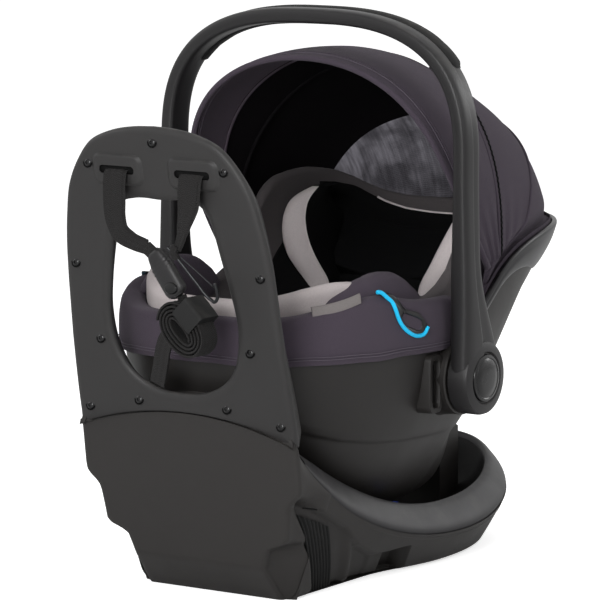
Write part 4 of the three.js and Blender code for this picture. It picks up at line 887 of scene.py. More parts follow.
@dataclass(frozen=True)
class CarrierShell:
    """Moulded bucket with its glossy head rim, hub bases, receivers, belt guides and release lever."""

    ledge_depth: float = 3.0
    rim_band: float = 48.0
    hub_radius: float = 44.0
    hub_y: float = 18.0
    hub_z: float = 229.0
    hub_reach: float = 186.2

    def build(self) -> None:
        """Makes every hard piece of the carrier."""
        self._bucket()
        self._rim()
        for side, name in ((-1, "left"), (1, "right")):
            self._hub_base(side, name)
            self._receiver(side, name)
            self._belt_guide(side, name)
        self._lever()

    def _bucket(self) -> None:
        """Bucket rings from the bottom to the edge; a soft ledge runs round below the sides."""
        angle = np.linspace(0, 2 * math.pi, 200, endpoint=False)[None, :]
        fraction = np.linspace(0.02, 1, 130)[:, None]
        outer = BUCKET.point(angle, fraction, 0.0)
        ledge = table([(-245, 205), (-179, 181), (-152, 173), (-104, 165), (-52, 161), (60, 156), (200, 176),
                       (345, 230)])(outer[..., 1])
        inset = self.ledge_depth * smooth(2.5, -2.5, outer[..., 2] - ledge)
        inset += 0.8 * np.exp(-((outer[..., 2] - ledge - 4) / 2.5) ** 2)
        outer = BUCKET.point(angle, fraction, inset)
        inner = BUCKET.point(angle, np.linspace(1, 0.02, 30)[:, None], 3.0)
        shell = skin("shell_bucket", np.concatenate([outer, inner]), around=True, caps=True, sharp=50)
        place(shell, SHELL, "carrier", "carrier_shell", "foam_liner")

    def _rim(self) -> None:
        """A band round the head end: rolled at the top, swelling in the middle and tucked in below."""
        start = math.asin(((BUCKET.rim_start - BUCKET.middle) / BUCKET.half_length) ** (BUCKET.plan / 2))
        t = np.linspace(0, 1, 90)
        angle = lerp(start, math.pi - start, t)
        taper = lerp(0.3, 1.0, smooth(0, 0.2, np.minimum(t, 1 - t)))
        profile = [(0.4, -3.0, 0), (2.4, -4.2, 0), (5.4, -4.0, 0), (6.6, -1.0, 0.0), (6.4, 0.0, 0.12),
                   (6.9, 0.0, 0.4), (5.6, 0.0, 0.75), (3.6, 0.0, 0.97), (1.0, 0.0, 1.0), (-1.0, 0.0, 0.97)]
        rows = []
        for out, lift, deep in profile:
            ring = BUCKET.wall(angle, -out, self.rim_band * taper * deep)
            ring[:, 2] -= lift
            rows.append(ring)
        rows = np.stack(rows, axis=1)
        rim = skin("head_rim_band", soften(rows, 2), around=True, caps=True, sharp=60)
        place(rim, GLOSS, "carrier", "head_rim")

    def _hub_base(self, side: int, name: str) -> None:
        """A round boss that flares out of the shell under the handle's leg."""
        r = self.hub_radius
        profile = [(r + 10, -46), (r + 5, -36), (r + 1.5, -24), (r, -12), (r, -1.5), (r - 1.5, 0), (r - 9, 0)]
        hub = lathe(f"hub_flare_{name}", [(p, h) for p, h in profile],
                    (side * self.hub_reach, self.hub_y, self.hub_z), (side, 0, 0), 56)
        place(hub, SHELL, "carrier", f"hub_base_{name}")

    def _receiver(self, side: int, name: str) -> None:
        """Stroller adapter receiver: a framed upright slot in a rounded block."""
        y, z, x = -33.0, 226.0, 180.0
        ring = pill(26, 66, 8, 6)
        steps_out = [(1.12, -34), (1.04, -14), (1.0, -2), (0.96, 0), (0.62, 0), (0.56, -1), (0.52, -7)]
        rows = np.stack([np.stack([np.full(len(ring), side * (x + h)), y + ring[:, 0] * s,
                                   z + ring[:, 1] * (1 - (1 - s) * 0.45)], axis=1) for s, h in steps_out])
        block = skin(f"receiver_{name}", rows, around=True, caps=True, sharp=35)
        place(block, SHELL, "carrier", f"adapter_receiver_{name}")
        slot = pill(9, 46, 4, 5)
        plan = slot + [y, z]
        lining = np.stack([np.column_stack([np.full(len(slot), side * (x + h)), plan]) for h in (-6.6, -6.2)])
        # The slot's bottom: a disc of painted shade.
        place(skin(f"receiver_slot_shade_{name}", lining, around=True, caps=True), PAINTED_SHADE, "carrier")

    def _belt_guide(self, side: int, name: str) -> None:
        """Glossy guide plate with an oval belt opening, a lip and a bright cord along its foot edge."""
        outline = curve([(-117, 337), (-109, 336), (-101, 329), (-95, 320), (-86, 315.5), (-72, 312),
                         (-60, 303), (-53.5, 293), (-58, 285.5), (-70, 285), (-87, 290.5), (-99, 301),
                         (-104, 313), (-108, 325), (-117, 337)], 90)[:-1]
        centre = np.array([-80.0, 301.0])
        opening = pill(35, 12, 5.9, 7) @ np.array([[0.94, -0.34], [0.34, 0.94]]) + [-79, 301.5]
        turn = np.arctan2(*(outline - centre).T[::-1])
        hole_turn = np.arctan2(*(opening - centre).T[::-1])
        order = np.argsort(hole_turn)
        hole = np.stack([np.interp(turn, hole_turn[order], opening[order, k], period=2 * math.pi)
                         for k in (0, 1)], axis=1)
        wall = lambda p: self._wall(p[:, 0]) - 0.3 * np.maximum(0, p[:, 1] - 316)  # noqa: E731
        steps_in = [(0.0, -9.0), (0.0, 0.8), (0.05, 2.2), (0.14, 2.6), (0.4, 2.2), (0.7, 1.6), (0.92, 0.8),
                    (1.0, -0.6), (1.0, -8.0), (0.9, -9.0), (0.5, -9.0)]
        rows = []
        for inwards, out in steps_in:
            p = outline + (hole - outline) * inwards
            rows.append(np.stack([side * (wall(p) + out), p[:, 0], p[:, 1]], axis=1))
        guide = skin(f"guide_plate_{name}", np.stack(rows), around=True, along=True, sharp=50)
        place(guide, BLACK_GLOSS, "carrier", f"belt_guide_{name}")
        line = curve([(-129, 339), (-124, 338.5), (-117, 333), (-110, 326), (-107, 315), (-101, 303.5),
                      (-87, 291), (-71, 285), (-60, 286), (-53, 293)], 80)
        line = line if side > 0 else line[12:] - [0, 3]
        path = np.stack([side * (wall(line) + 2.6), line[:, 0], line[:, 1]], axis=1)
        cord = sweep(f"guide_cord_{name}", path, (side, 0, 0), circle(12, 2.3))
        place(cord, CYAN, "carrier")

    def _wall(self, y: np.ndarray) -> np.ndarray:
        """How far out the cover's side lies at a y."""
        away = np.abs((y - BUCKET.middle) / (BUCKET.half_length + 5))
        return (BUCKET.half_width + 4.6) * np.maximum(0, 1 - away ** BUCKET.plan) ** (1 / BUCKET.plan)

    def _lever(self) -> None:
        """Release handle in its hooded opening at the head end."""
        bar = curve([(-44, 278, 242), (-24, 283, 243), (0, 284, 243), (24, 283, 243), (44, 278, 242)], 30)
        lever = sweep("lever_bar", bar, (0, 1, 0), pill(11, 22, 5, 6), sharp=50)
        place(lever, BLACK_GLOSS, "release", "release_lever")
        ring = pill(110, 50, 12, 8)
        rows = []
        for grow, y in ((1.12, 236), (1.03, 268), (0.99, 275), (0.93, 277), (0.87, 273), (0.85, 254)):
            bow = -((ring[:, 0] / 90) ** 2) * 8 + (246 - ring[:, 1] * grow - 246) * -0.45
            rows.append(np.stack([ring[:, 0] * grow, y + bow, 246 + ring[:, 1] * grow], axis=1))
        place(skin("lever_hood", np.stack(rows), around=True, caps=True, sharp=40), SHELL, "carrier")


@dataclass(frozen=True)
class SeatCover:
    """Fabric collar folded over the carrier's edge, with its piping and hem."""

    crown: float = 20.0
    hem: float = 36.0
    flap: float = 14.0
    cover: float = 5.0
    foam_inner: float = 16.3

    def _section(self, angle: np.ndarray) -> np.ndarray:
        """The collar's section at each angle: up from the hem, over the crown and down inside."""
        edge = BUCKET.edge_point(angle, 0.0)
        inside = BUCKET.edge_point(angle, self.foam_inner + 6.0)
        outside = BUCKET.edge_point(angle, -1.3)
        inwards = unit((inside - outside) * [1, 1, 0])
        y = edge[:, 1]
        head = smooth(6, 38, y)
        hump = 13 * np.exp(-(((y + 128) / 52) ** 2))
        foot = -6 * smooth(-190, -240, y)
        drop = lerp(self.hem + 1.5 * ripple(edge, 120, 5), -3, head)
        crown = lerp(self.crown + hump + foot, 5, head)
        skin_depth = self.cover - 1
        outer = lerp(-skin_depth, 3, smooth(40, 58, y))

        def at(base: np.ndarray, shift: np.ndarray, up: np.ndarray) -> np.ndarray:
            moved = base + inwards * np.broadcast_to(shift, y.shape)[:, None]
            moved[:, 2] = edge[:, 2] + up
            return moved

        return np.stack([
            at(outside, np.maximum(0, outer), -drop), at(outside, outer * 0.6, -drop - 1),
            at(outside, outer * 1.05, -drop + 6), at(outside, outer * 1.2, -drop * 0.3),
            at(outside, outer * 0.8, crown * 0.62), at(outside, outer + skin_depth * 1.6, crown * 1.06),
            at(inside, -skin_depth * 0.4, crown * 0.98), at(inside, skin_depth * 0.9, crown * 0.3),
            at(inside, skin_depth, -self.flap), at(inside, 0 * y, -self.flap), at(inside, 0 * y, 1.3 + 0 * y),
            at(outside, np.maximum(0, outer), 1.3 + 0 * y)], axis=1)

    def build(self) -> None:
        """Makes the collar, its hem seam and the foot-end piping."""
        angle = np.linspace(0, 2 * math.pi, 320, endpoint=False)
        rows = soften(self._section(angle), 2)
        rows += normals(np.concatenate([rows, rows[:1]]))[:-1] * (0.35 * ripple(rows, 55, 3))[..., None]
        collar = skin("collar", rows, around=True, along=True)
        place(collar, CLOTH, "carrier", "seat_cover")
        for k, up in enumerate((6.0, 9.0)):
            turn = np.linspace(-math.pi, 0, 260)
            edge = BUCKET.edge_point(turn, -1.3 - self.cover + 0.1)
            keep = edge[:, 1] < 2
            path = edge[keep] - [0, 0, self.hem - up]
            path[:, 2] += -1.5 * ripple(BUCKET.edge_point(turn, 0.0)[keep], 120, 5)
            place(sweep(f"collar_stitch_{k + 1}", path, (0, 0, 1), circle(6, 0.45)), STITCH, "carrier")


@dataclass(frozen=True)
class Interior:
    """Seat pad with a raised headrest wall, its crescents, the black insert, pillow, harness and buckle."""

    outer: float = 24.0
    inner: float = 38.6
    hump_y: float = -88.0
    wing_heights: tuple[float, ...] = (290, 300, 310, 320, 335, 350, 365, 380, 395, 405, 413)
    wing_inner_x: tuple[float, ...] = (60, 61, 63, 69, 79, 87, 94, 100, 104, 104, 104)
    wing_inner_y: tuple[float, ...] = (116, 115, 115, 113, 112, 112, 115, 121, 131, 141, 156)
    wing_outer_x: tuple[float, ...] = (94, 98, 101, 107, 116, 122, 126, 129, 130, 124, 112)
    wing_outer_y: tuple[float, ...] = (116, 115, 114, 111, 107, 107, 110, 117, 129, 140, 155)
    slope: float = 0.4529
    buckle_y: float = -38.0
    button_up: float = 59.0
    adjuster_y: float = -130.0

    def top(self, y: np.ndarray) -> np.ndarray:
        """Height of the pad's upper edge at a y."""
        return table([(-245, 312), (-220, 319), (-194, 330), (-176, 337), (-154, 341), (-129, 340),
                      (-100, 334),
                      (-60, 318), (0, 312), (36, 326), (60, 350), (80, 383), (87, 394), (97, 405), (110, 414),
                      (127, 420), (147, 423.5), (170, 425), (196, 424), (220, 420), (245, 412), (271, 398),
                      (294, 386.5), (308, 382.5), (345, 382)])(y)

    def cup(self, angle: np.ndarray, fraction: np.ndarray, inset: np.ndarray) -> np.ndarray:
        """Points of the pad's hollow: the bucket's meridians with this piece's own floor and top edge."""
        edge = BUCKET.edge_point(angle, inset)
        return BUCKET.point(angle, fraction, inset, self.top(edge[..., 1]) - edge[..., 2], BUCKET.seat_floor)

    def height(self, x: np.ndarray, y: np.ndarray) -> np.ndarray:
        """Height of the pad's surface at a place in plan."""
        hx, hy = BUCKET.half_width - self.inner, BUCKET.half_length - self.inner
        out = (np.abs(x / hx) ** 3 + np.abs((y - BUCKET.middle) / hy) ** 3) ** (1 / 3)
        out = np.clip(out, 1e-6, 0.999)
        down = (1 - out ** BUCKET.meridian) ** (1 / BUCKET.meridian)
        return lerp(self.top(BUCKET.middle + (y - BUCKET.middle) / out), BUCKET.seat_floor(y), down)

    def build(self) -> None:
        """Makes every soft piece inside the seat."""
        self._pad()
        for side, name in ((-1, "left"), (1, "right")):
            self._wing(side, name)
            self._hump(side, name)
            self._shoulder_strap(side, name)
        self._insert()
        self._pillow()
        self._buckle()
        self._tag()

    def _pad(self) -> None:
        """The cup: up its hollow, over a rolled top and down outside."""
        angle = np.linspace(0, 2 * math.pi, 260, endpoint=False)[None, :]
        inside = self.cup(angle, np.linspace(0.03, 1, 70)[:, None] ** 0.9, self.inner)
        crest_in, crest_out = inside[-1], self.cup(angle[0], np.ones(260), self.outer)
        roll = [lerp(crest_in, crest_out, (1 - math.cos(t)) / 2) + [0, 0, 7 * math.sin(t)]
                for t in np.linspace(0, math.pi, 10)[1:]]
        foot = BUCKET.edge_height(crest_out[:, 1]) - 30
        down = [np.column_stack([crest_out[:, :2], lerp(crest_out[:, 2], foot, k)])
                for k in (0.15, 0.4, 0.7, 1.0)]
        under = BUCKET.point(angle, np.linspace(0.86, 0.03, 18)[:, None], self.outer,
                             floor=lambda y: BUCKET.seat_floor(y) - 9)
        under[..., 2] = np.minimum(under[..., 2], down[-1][:, 2] - 2)
        rows = np.concatenate([inside, np.stack(roll + down), under])
        soft = len(inside) + len(roll)
        rows[:soft] += normals(rows)[:soft] * (0.7 * ripple(rows[:soft], 90, 8))[..., None]
        pad = skin("seat_cushion", rows, around=True, caps=True)
        place(pad, WALL_CLOTH, "carrier", "seat_pad")
        front = np.radians(np.linspace(-152, -28, 150))[None, :]
        over = self.cup(front, np.linspace(0.25, 1, 40)[:, None], self.inner - 0.6)
        edge_in, edge_out = over[-1], self.cup(front[0], np.ones(150), self.outer - 0.8)
        lip = [lerp(edge_in, edge_out, (1 - math.cos(t)) / 2) + [0, 0, 8.4 * math.sin(t)]
               for t in np.linspace(0, math.pi, 10)[1:]]
        lip += [edge_out - [0, 0, 4.0], edge_out - [0, 0, 10.0], edge_out - [0, 0, 17.0]]
        # The foot cushion is the light grey cloth in painted shade.
        grey = sheet("foot_cushion", np.concatenate([over, np.stack(lip)]), 1.6)
        place(grey, FOOT_GREY_SHADED, "carrier")

    def _overlay(self, name: str, angle: np.ndarray, low: np.ndarray, high: np.ndarray, lift: float,
                 puff: float) -> bpy.types.Object:
        """A padded panel on the hollow between two fractions, thicker in its middle."""
        t = np.linspace(0, 1, 40)[:, None]
        fraction = lerp(low[None, :], high[None, :], t)
        span = np.linspace(0, 1, len(angle))[None, :]
        round_off = np.clip(np.sin(math.pi * t) * np.sin(math.pi * span), 0, 1) ** 0.35
        surface = self.cup(angle[None, :], fraction, self.inner)
        away = normals(surface)
        away *= np.sign(away[0, len(angle) // 2, 2])
        surface = surface + away * (lift + puff * round_off)[..., None]
        return sheet(name, surface, -(lift + 2.0) * np.sign(normals(surface)[0, len(angle) // 2, 2]))

    def _wing(self, side: int, name: str) -> None:
        """Padded head wing on the side wall; a light grey crescent covers its rounded foot-facing end."""
        z = np.linspace(290, 413, 56)
        inner_x, inner_y, outer_x, outer_y = (
            curve_table(list(zip(self.wing_heights, line)), 260)(z)
            for line in (self.wing_inner_x, self.wing_inner_y, self.wing_outer_x, self.wing_outer_y))
        t = np.linspace(0, 1, 15)[None, :]
        bulge = np.sin(math.pi * t) ** 0.7 * np.minimum(7.0, (outer_x - inner_x)[:, None] * 0.25)
        front_x = lerp(outer_x[:, None], inner_x[:, None], t)
        front_y = lerp(outer_y[:, None], inner_y[:, None], t) - bulge
        k = np.linspace(0, 1, 12)[None, 1:]
        run = lerp(112.0, 40.0, smooth(360, 413, z))[:, None]
        back_y = front_y[:, -1:] + k * run
        end_x = np.minimum(outer_x - 8, 108)
        back_x = inner_x[:, None] + k * (end_x - inner_x)[:, None] - 7 * np.sin(math.pi * k)
        close_x = np.stack([outer_x + 2, outer_x + 3], axis=1)
        close_y = np.stack([back_y[:, -1] - 6, outer_y + 5], axis=1)
        x = np.concatenate([front_x, back_x, close_x], axis=1)
        y = np.concatenate([front_y, back_y, close_y], axis=1)
        rows = np.stack([side * x, y, np.broadcast_to(z[:, None], x.shape)], axis=-1)
        wing = skin(f"head_wing_{name}", rows, around=True, caps=True, sharp=80)
        place(wing, BLACK_CLOTH, "carrier")
        cover = np.stack([side * front_x, front_y - 0.6, np.broadcast_to(z[:, None], front_x.shape)], axis=-1)
        crescent = sheet(f"crescent_{name}", cover, 1.8 * side)
        place(crescent, GREY, "carrier")

    def _insert_top(self, turn: np.ndarray) -> np.ndarray:
        """Fraction of the black insert's upper edge, by degrees away from the middle."""
        return table([(0, 0.862), (8.5, 0.862), (20.8, 0.882), (32, 0.908), (37, 0.931), (45.5, 0.955),
                      (60, 0.945)])(turn)

    def _insert(self) -> None:
        """Black hourglass insert: wide at the head, narrow at the hips."""
        angle = np.radians(np.linspace(25, 155, 120))
        turn = np.abs(np.degrees(angle) - 90)
        high = self._insert_top(turn)
        low = np.full_like(angle, 0.03)
        insert = self._overlay("black_insert", angle, low, high, 1.0, 1.6)
        place(insert, BLACK_CLOTH, "carrier")
        hip = np.radians(np.linspace(147, 393, 200))
        turn = np.degrees(hip)
        high = table([(147, 0.82), (162, 0.76), (180, 0.68), (210, 0.62), (235, 0.6), (270, 0.5), (305, 0.6),
                      (330, 0.62), (360, 0.68), (378, 0.76), (393, 0.82)])(turn)
        seat = self._overlay("black_seat", hip, np.full_like(hip, 0.03), high, 1.0, 0.6)
        place(seat, BLACK_CLOTH, "carrier")
        line = np.radians(np.linspace(54, 126, 120))
        path = self.cup(line, self._insert_top(np.abs(np.degrees(line) - 90)) + 0.012, self.inner + 1.2)
        cord = sweep("insert_piping", path, (0, 0, 1), circle(8, 1.3))
        place(cord, GREY, "carrier")

    def _hump(self, side: int, name: str) -> None:
        """Padded bolster beside the hips that swells above the collar."""
        u = np.linspace(0, 2 * math.pi, 72, endpoint=False)[None, :]
        v = np.linspace(0.02, math.pi - 0.02, 40)[:, None]
        x = 17 * signed_power(np.sin(v), 0.9) * signed_power(np.cos(u), 0.85)
        y = 86 * signed_power(np.cos(v) + 0 * u, 1.0)
        z = 34 * signed_power(np.sin(v), 1.7) * signed_power(np.sin(u), 0.8)
        rows = np.stack([side * (139 + x - 14 * smooth(-20, -84, y) - 0.1 * z), self.hump_y + y,
                         321 + z - 8 * smooth(20, 80, y)], axis=-1)
        rows += normals(rows) * (1.0 * ripple(rows, 60, 12 + side))[..., None]
        hump = skin(f"hip_bolster_{name}", rows, around=True, caps=True)
        place(hump, CLOTH, "carrier")

    def _pillow(self) -> None:
        """Head pillow lying up the back, plump in the middle."""
        u = np.linspace(-1, 1, 60)[None, :]
        v = np.linspace(-1, 1, 40)[:, None]
        fat = np.clip(1 - np.abs(u) ** 4, 0, 1) ** 0.5 * np.clip(1 - np.abs(v) ** 4, 0, 1) ** 0.5
        x = 92 * u * (1 - 0.06 * v ** 2)
        y = 196 + 52 * v * (1 - 0.05 * u ** 2)
        base = self.height(x, y)
        top = np.stack([x + 0 * v, y + 0 * u, base + 3 + 15 * fat], axis=-1)
        low = np.stack([x + 0 * v, y + 0 * u, base + 2.5 - 6 * fat], axis=-1)
        rows = np.concatenate([top, low[:, ::-1]], axis=1)
        pillow = skin("head_pillow_soft", rows, around=True, caps=True)
        place(pillow, BLACK_CLOTH, "head_support", "head_pillow")

    def _ribbon(
        self, name: str, line: np.ndarray, width: float, thick: float, lift: float
    ) -> bpy.types.Object:
        """A flat strap lying on the pad along an (x, y) line."""
        z = self.height(line[:, 0], line[:, 1]) + lift
        path = np.column_stack([line, z])
        return sweep(name, path, (1, 0, 0), pill(width, thick, thick * 0.48, 4), sharp=60)

    def _shoulder_strap(self, side: int, name: str) -> None:
        """Shoulder webbing with a padded sleeve, from under the pillow to the buckle."""
        line = curve([(36, 176), (38, 120), (36, 60), (26, 10), (17, -30)], 60) * [side, 1]
        place(self._ribbon(f"shoulder_webbing_{name}", line, 38, 2.0, 3.4), WEBBING, "carrier",
              f"shoulder_strap_{name}")
        sleeve = curve([(37, 165), (38, 120), (37, 75), (33, 45)], 50) * [side, 1]
        pad = self._ribbon(f"shoulder_sleeve_{name}", sleeve, 56, 9, 7.0)
        place(pad, BLACK_CLOTH, "carrier")

    def _buckle(self) -> None:
        """Buckle with its red button, crotch strap and the harness adjuster."""
        base = float(self.height(np.array(0.0), np.array(self.buckle_y)))
        stages = [(0.78, 0), (0.95, 2), (1.0, 8), (1.0, 58), (0.94, 70), (0.8, 77), (0.6, 79)]
        ring = pill(52, 18, 7, 6)
        rows = np.stack([np.column_stack([ring[:, 0] * s, self.buckle_y + ring[:, 1] * (0.6 + 0.4 * s),
                                          np.full(len(ring), base + h)]) for s, h in stages])
        case = skin("buckle_case", rows, around=True, caps=True, sharp=60)
        place(case, BLACK_GLOSS, "carrier", "buckle_body")
        square = pill(26, 26, 6, 6)
        rows = np.stack([np.column_stack([square[:, 0] * s, np.full(len(square), self.buckle_y - out),
                                          base + self.button_up + square[:, 1] * s])
                         for s, out in ((1.0, 7), (1.0, 9.6), (0.94, 10.6), (0.6, 10.2))])
        press = skin("buckle_press", rows, around=True, caps=True, sharp=50)
        place(press, RED, "buckle_push", "buckle_button")
        line = np.array([(0, y) for y in np.linspace(-97, -46, 24)], float)
        place(self._ribbon("crotch_webbing", line, 38, 2.0, 2.6), WEBBING, "carrier", "crotch_strap")
        z = float(self.height(np.array(0.0), np.array(self.adjuster_y)))
        ring = pill(34, 34, 9, 6)
        stages = [(1.0, -3), (1.0, 9), (0.93, 12), (0.7, 12.4), (0.62, 11.2), (0.3, 11.2)]
        rows = np.stack([np.column_stack([ring * s + [0, self.adjuster_y], np.full(len(ring), z + h)])
                         for s, h in stages])
        place(skin("adjuster_press", rows, around=True, caps=True, sharp=50), BLACK_GLOSS, "harness_push",
              "harness_adjuster")

    def _tag(self) -> None:
        """A bare woven ribbon label sewn along the collar's crown."""
        t = np.linspace(0, 1, 40)
        y = lerp(-203.0, -151.0, t)
        crown = lerp(326.5, 338.0, t) - 1.5 * np.sin(t * math.pi)
        away = (y - BUCKET.middle) / BUCKET.half_length
        x = (BUCKET.half_width + 1.0) * (1 - np.abs(away) ** BUCKET.plan) ** (1 / BUCKET.plan)
        section = [(3.4, -1.6), (1.6, -0.6), (0.4, 1.6), (-0.3, 4.6), (-0.8, 8.6)]
        rows = np.stack([np.column_stack([x - inwards, y + 0.6 * inwards, crown - down])
                         for inwards, down in section])
        place(sheet("ribbon_label", rows, 0.7), LABEL, "carrier")


# ---------------------------------------------------------------- handle
@dataclass(frozen=True)
class Handle:
    """Arched carry handle with its grip, round hubs and push caps."""

    hub_y: float = 18.0
    hub_z: float = 229.0
    hub_radius: float = 42.0
    arch_base: float = 470.0
    top: float = 638.0
    half_width: float = 209.0
    thickness: float = 18.0
    leg_inner: float = 187.0
    foot: float = 214.0
    front: float = -22.0
    rear: float = 16.0
    power: float = 2.75

    def _station(self, s: np.ndarray) -> dict[str, np.ndarray]:
        """Middle line, rear edge and thickness; s runs from -2 at one hub by 0 at the top to 2."""
        arch, run = np.clip(s, -1, 1), np.maximum(0, np.abs(s) - 1)
        ease = smooth(0, 0.8, run)
        middle = self.half_width - self.thickness / 2
        rise = self.top - self.thickness / 2 - self.arch_base
        angle = arch * math.pi / 2
        x = np.where(run > 0, np.sign(s) * lerp(middle, (self.foot + self.leg_inner) / 2, ease),
                     middle * signed_power(np.sin(angle), 2 / self.power))
        z = np.where(run > 0, lerp(self.arch_base, self.hub_z, run),
                     self.arch_base + rise * np.abs(np.cos(angle)) ** (2 / self.power))
        rear = lerp(self.rear, self.hub_y + self.hub_radius * 0.92, smooth(0.35, 1, run) ** 1.5)
        front = lerp(self.front, self.hub_y - self.hub_radius * 0.97, smooth(0.7, 1, run))
        return {"x": x, "z": z, "rear": rear, "front": front,
                "thick": lerp(self.thickness, self.foot - self.leg_inner, ease)}

    def build(self) -> None:
        """Makes the handle, grip and hubs."""
        self._bow()
        self._grip()
        for side, name in ((-1, "left"), (1, "right")):
            self._hub(side, name)

    def _bow(self) -> None:
        """The arch and legs: a rounded bar with a shallow step along its outer face."""
        s = np.linspace(-1, 1, 2 * 150 + 1)
        s = np.sign(s) * (1 - (1 - np.abs(s)) ** 1.0) * 2
        p = self._station(s)
        path = np.column_stack([p["x"], np.zeros(len(s)), p["z"]])
        along = unit(np.gradient(path, axis=0))
        out = np.column_stack([along[:, 2] * -1, 0 * s, along[:, 0]])
        out *= np.sign(np.sum(out * np.column_stack([p["x"], 0 * s, p["z"] - 400]), axis=1))[:, None]
        half = p["thick"] / 2
        depth = p["rear"] - p["front"]
        profile = [(-1, 0.16), (-0.72, 0.0), (0.55, 0.0), (0.86, 0.06), (1.0, 0.2), (1.0, 0.42), (0.97, 0.5),
                   (0.78, 0.53), (0.76, 0.6), (0.76, 0.86), (0.5, 1.0), (-0.72, 1.0), (-1, 0.86)]
        rows = np.stack([path + out * (half * k)[:, None] + np.outer(p["front"] + depth * d, [0, 1, 0])
                         for k, d in profile], axis=1)
        bow = skin("handle_bow", soften(rows, 2), around=True, caps=True, sharp=70)
        place(bow, HANDLE, "handle", "handle_frame")

    def _grip(self) -> None:
        """Soft grip over the rear of the top bar, with a stepped end at each side."""
        s = np.linspace(-0.63, 0.63, 140)
        p = self._station(s)
        path = np.column_stack([p["x"], np.zeros(len(s)), p["z"]])
        along = unit(np.gradient(path, axis=0))
        out = np.column_stack([-along[:, 2], 0 * s, along[:, 0]])
        swell = 1 + 0.1 * np.abs(np.sin(np.abs(s) * 26)) * smooth(0.3, 0.42, np.abs(s))
        ends = smooth(0.63, 0.6, np.abs(s))
        section = pill(1, 1, 0.36, 6)
        half = self.thickness / 2 + 1.6
        wide = (0.7 + 0.3 * ends * swell)[:, None, None]
        deep = (0.75 + 0.25 * ends)[:, None, None]
        rows = path[:, None] + out[:, None] * (section[None, :, :1] * 2 * half * wide)
        rows = rows + np.array([0, 1.0, 0]) * (8.5 + section[None, :, 1:] * 21 * deep)
        grip = skin("handle_grip_soft", rows, around=True, caps=True, sharp=70)
        place(grip, RUBBER, "handle", "handle_grip")

    def _hub(self, side: int, name: str) -> None:
        """Round hub with a rolled face, a ring groove and a domed oval cap."""
        r, f = self.hub_radius, self.foot
        inner = self.leg_inner
        profile = [(r - 3, 0), (r, 2), (r, f - inner - 6), (r - 1.5, f - inner - 1.5), (r - 6, f - inner),
                   (30, f - inner + 0.8), (29, f - inner - 0.6), (28.2, f - inner - 1.6),
                   (10, f - inner - 1.6)]
        hub = lathe(f"handle_hub_{name}", profile, (side * inner, self.hub_y, self.hub_z), (side, 0, 0), 64)
        place(hub, HANDLE, "handle")
        dome = [(27.2, -3), (27.2, 1.0), (26.4, 2.4), (23.5, 3.2), (22.4, 2.6), (21.5, 3.3), (14, 4.4),
                (4, 4.9)]
        cap = lathe(f"hub_cap_{name}", dome, (side * (f - 1.4), self.hub_y, self.hub_z), (side, 0, 0), 56)
        place(cap, BLACK_GLOSS, f"hub_push_{name}", f"hub_button_{name}")


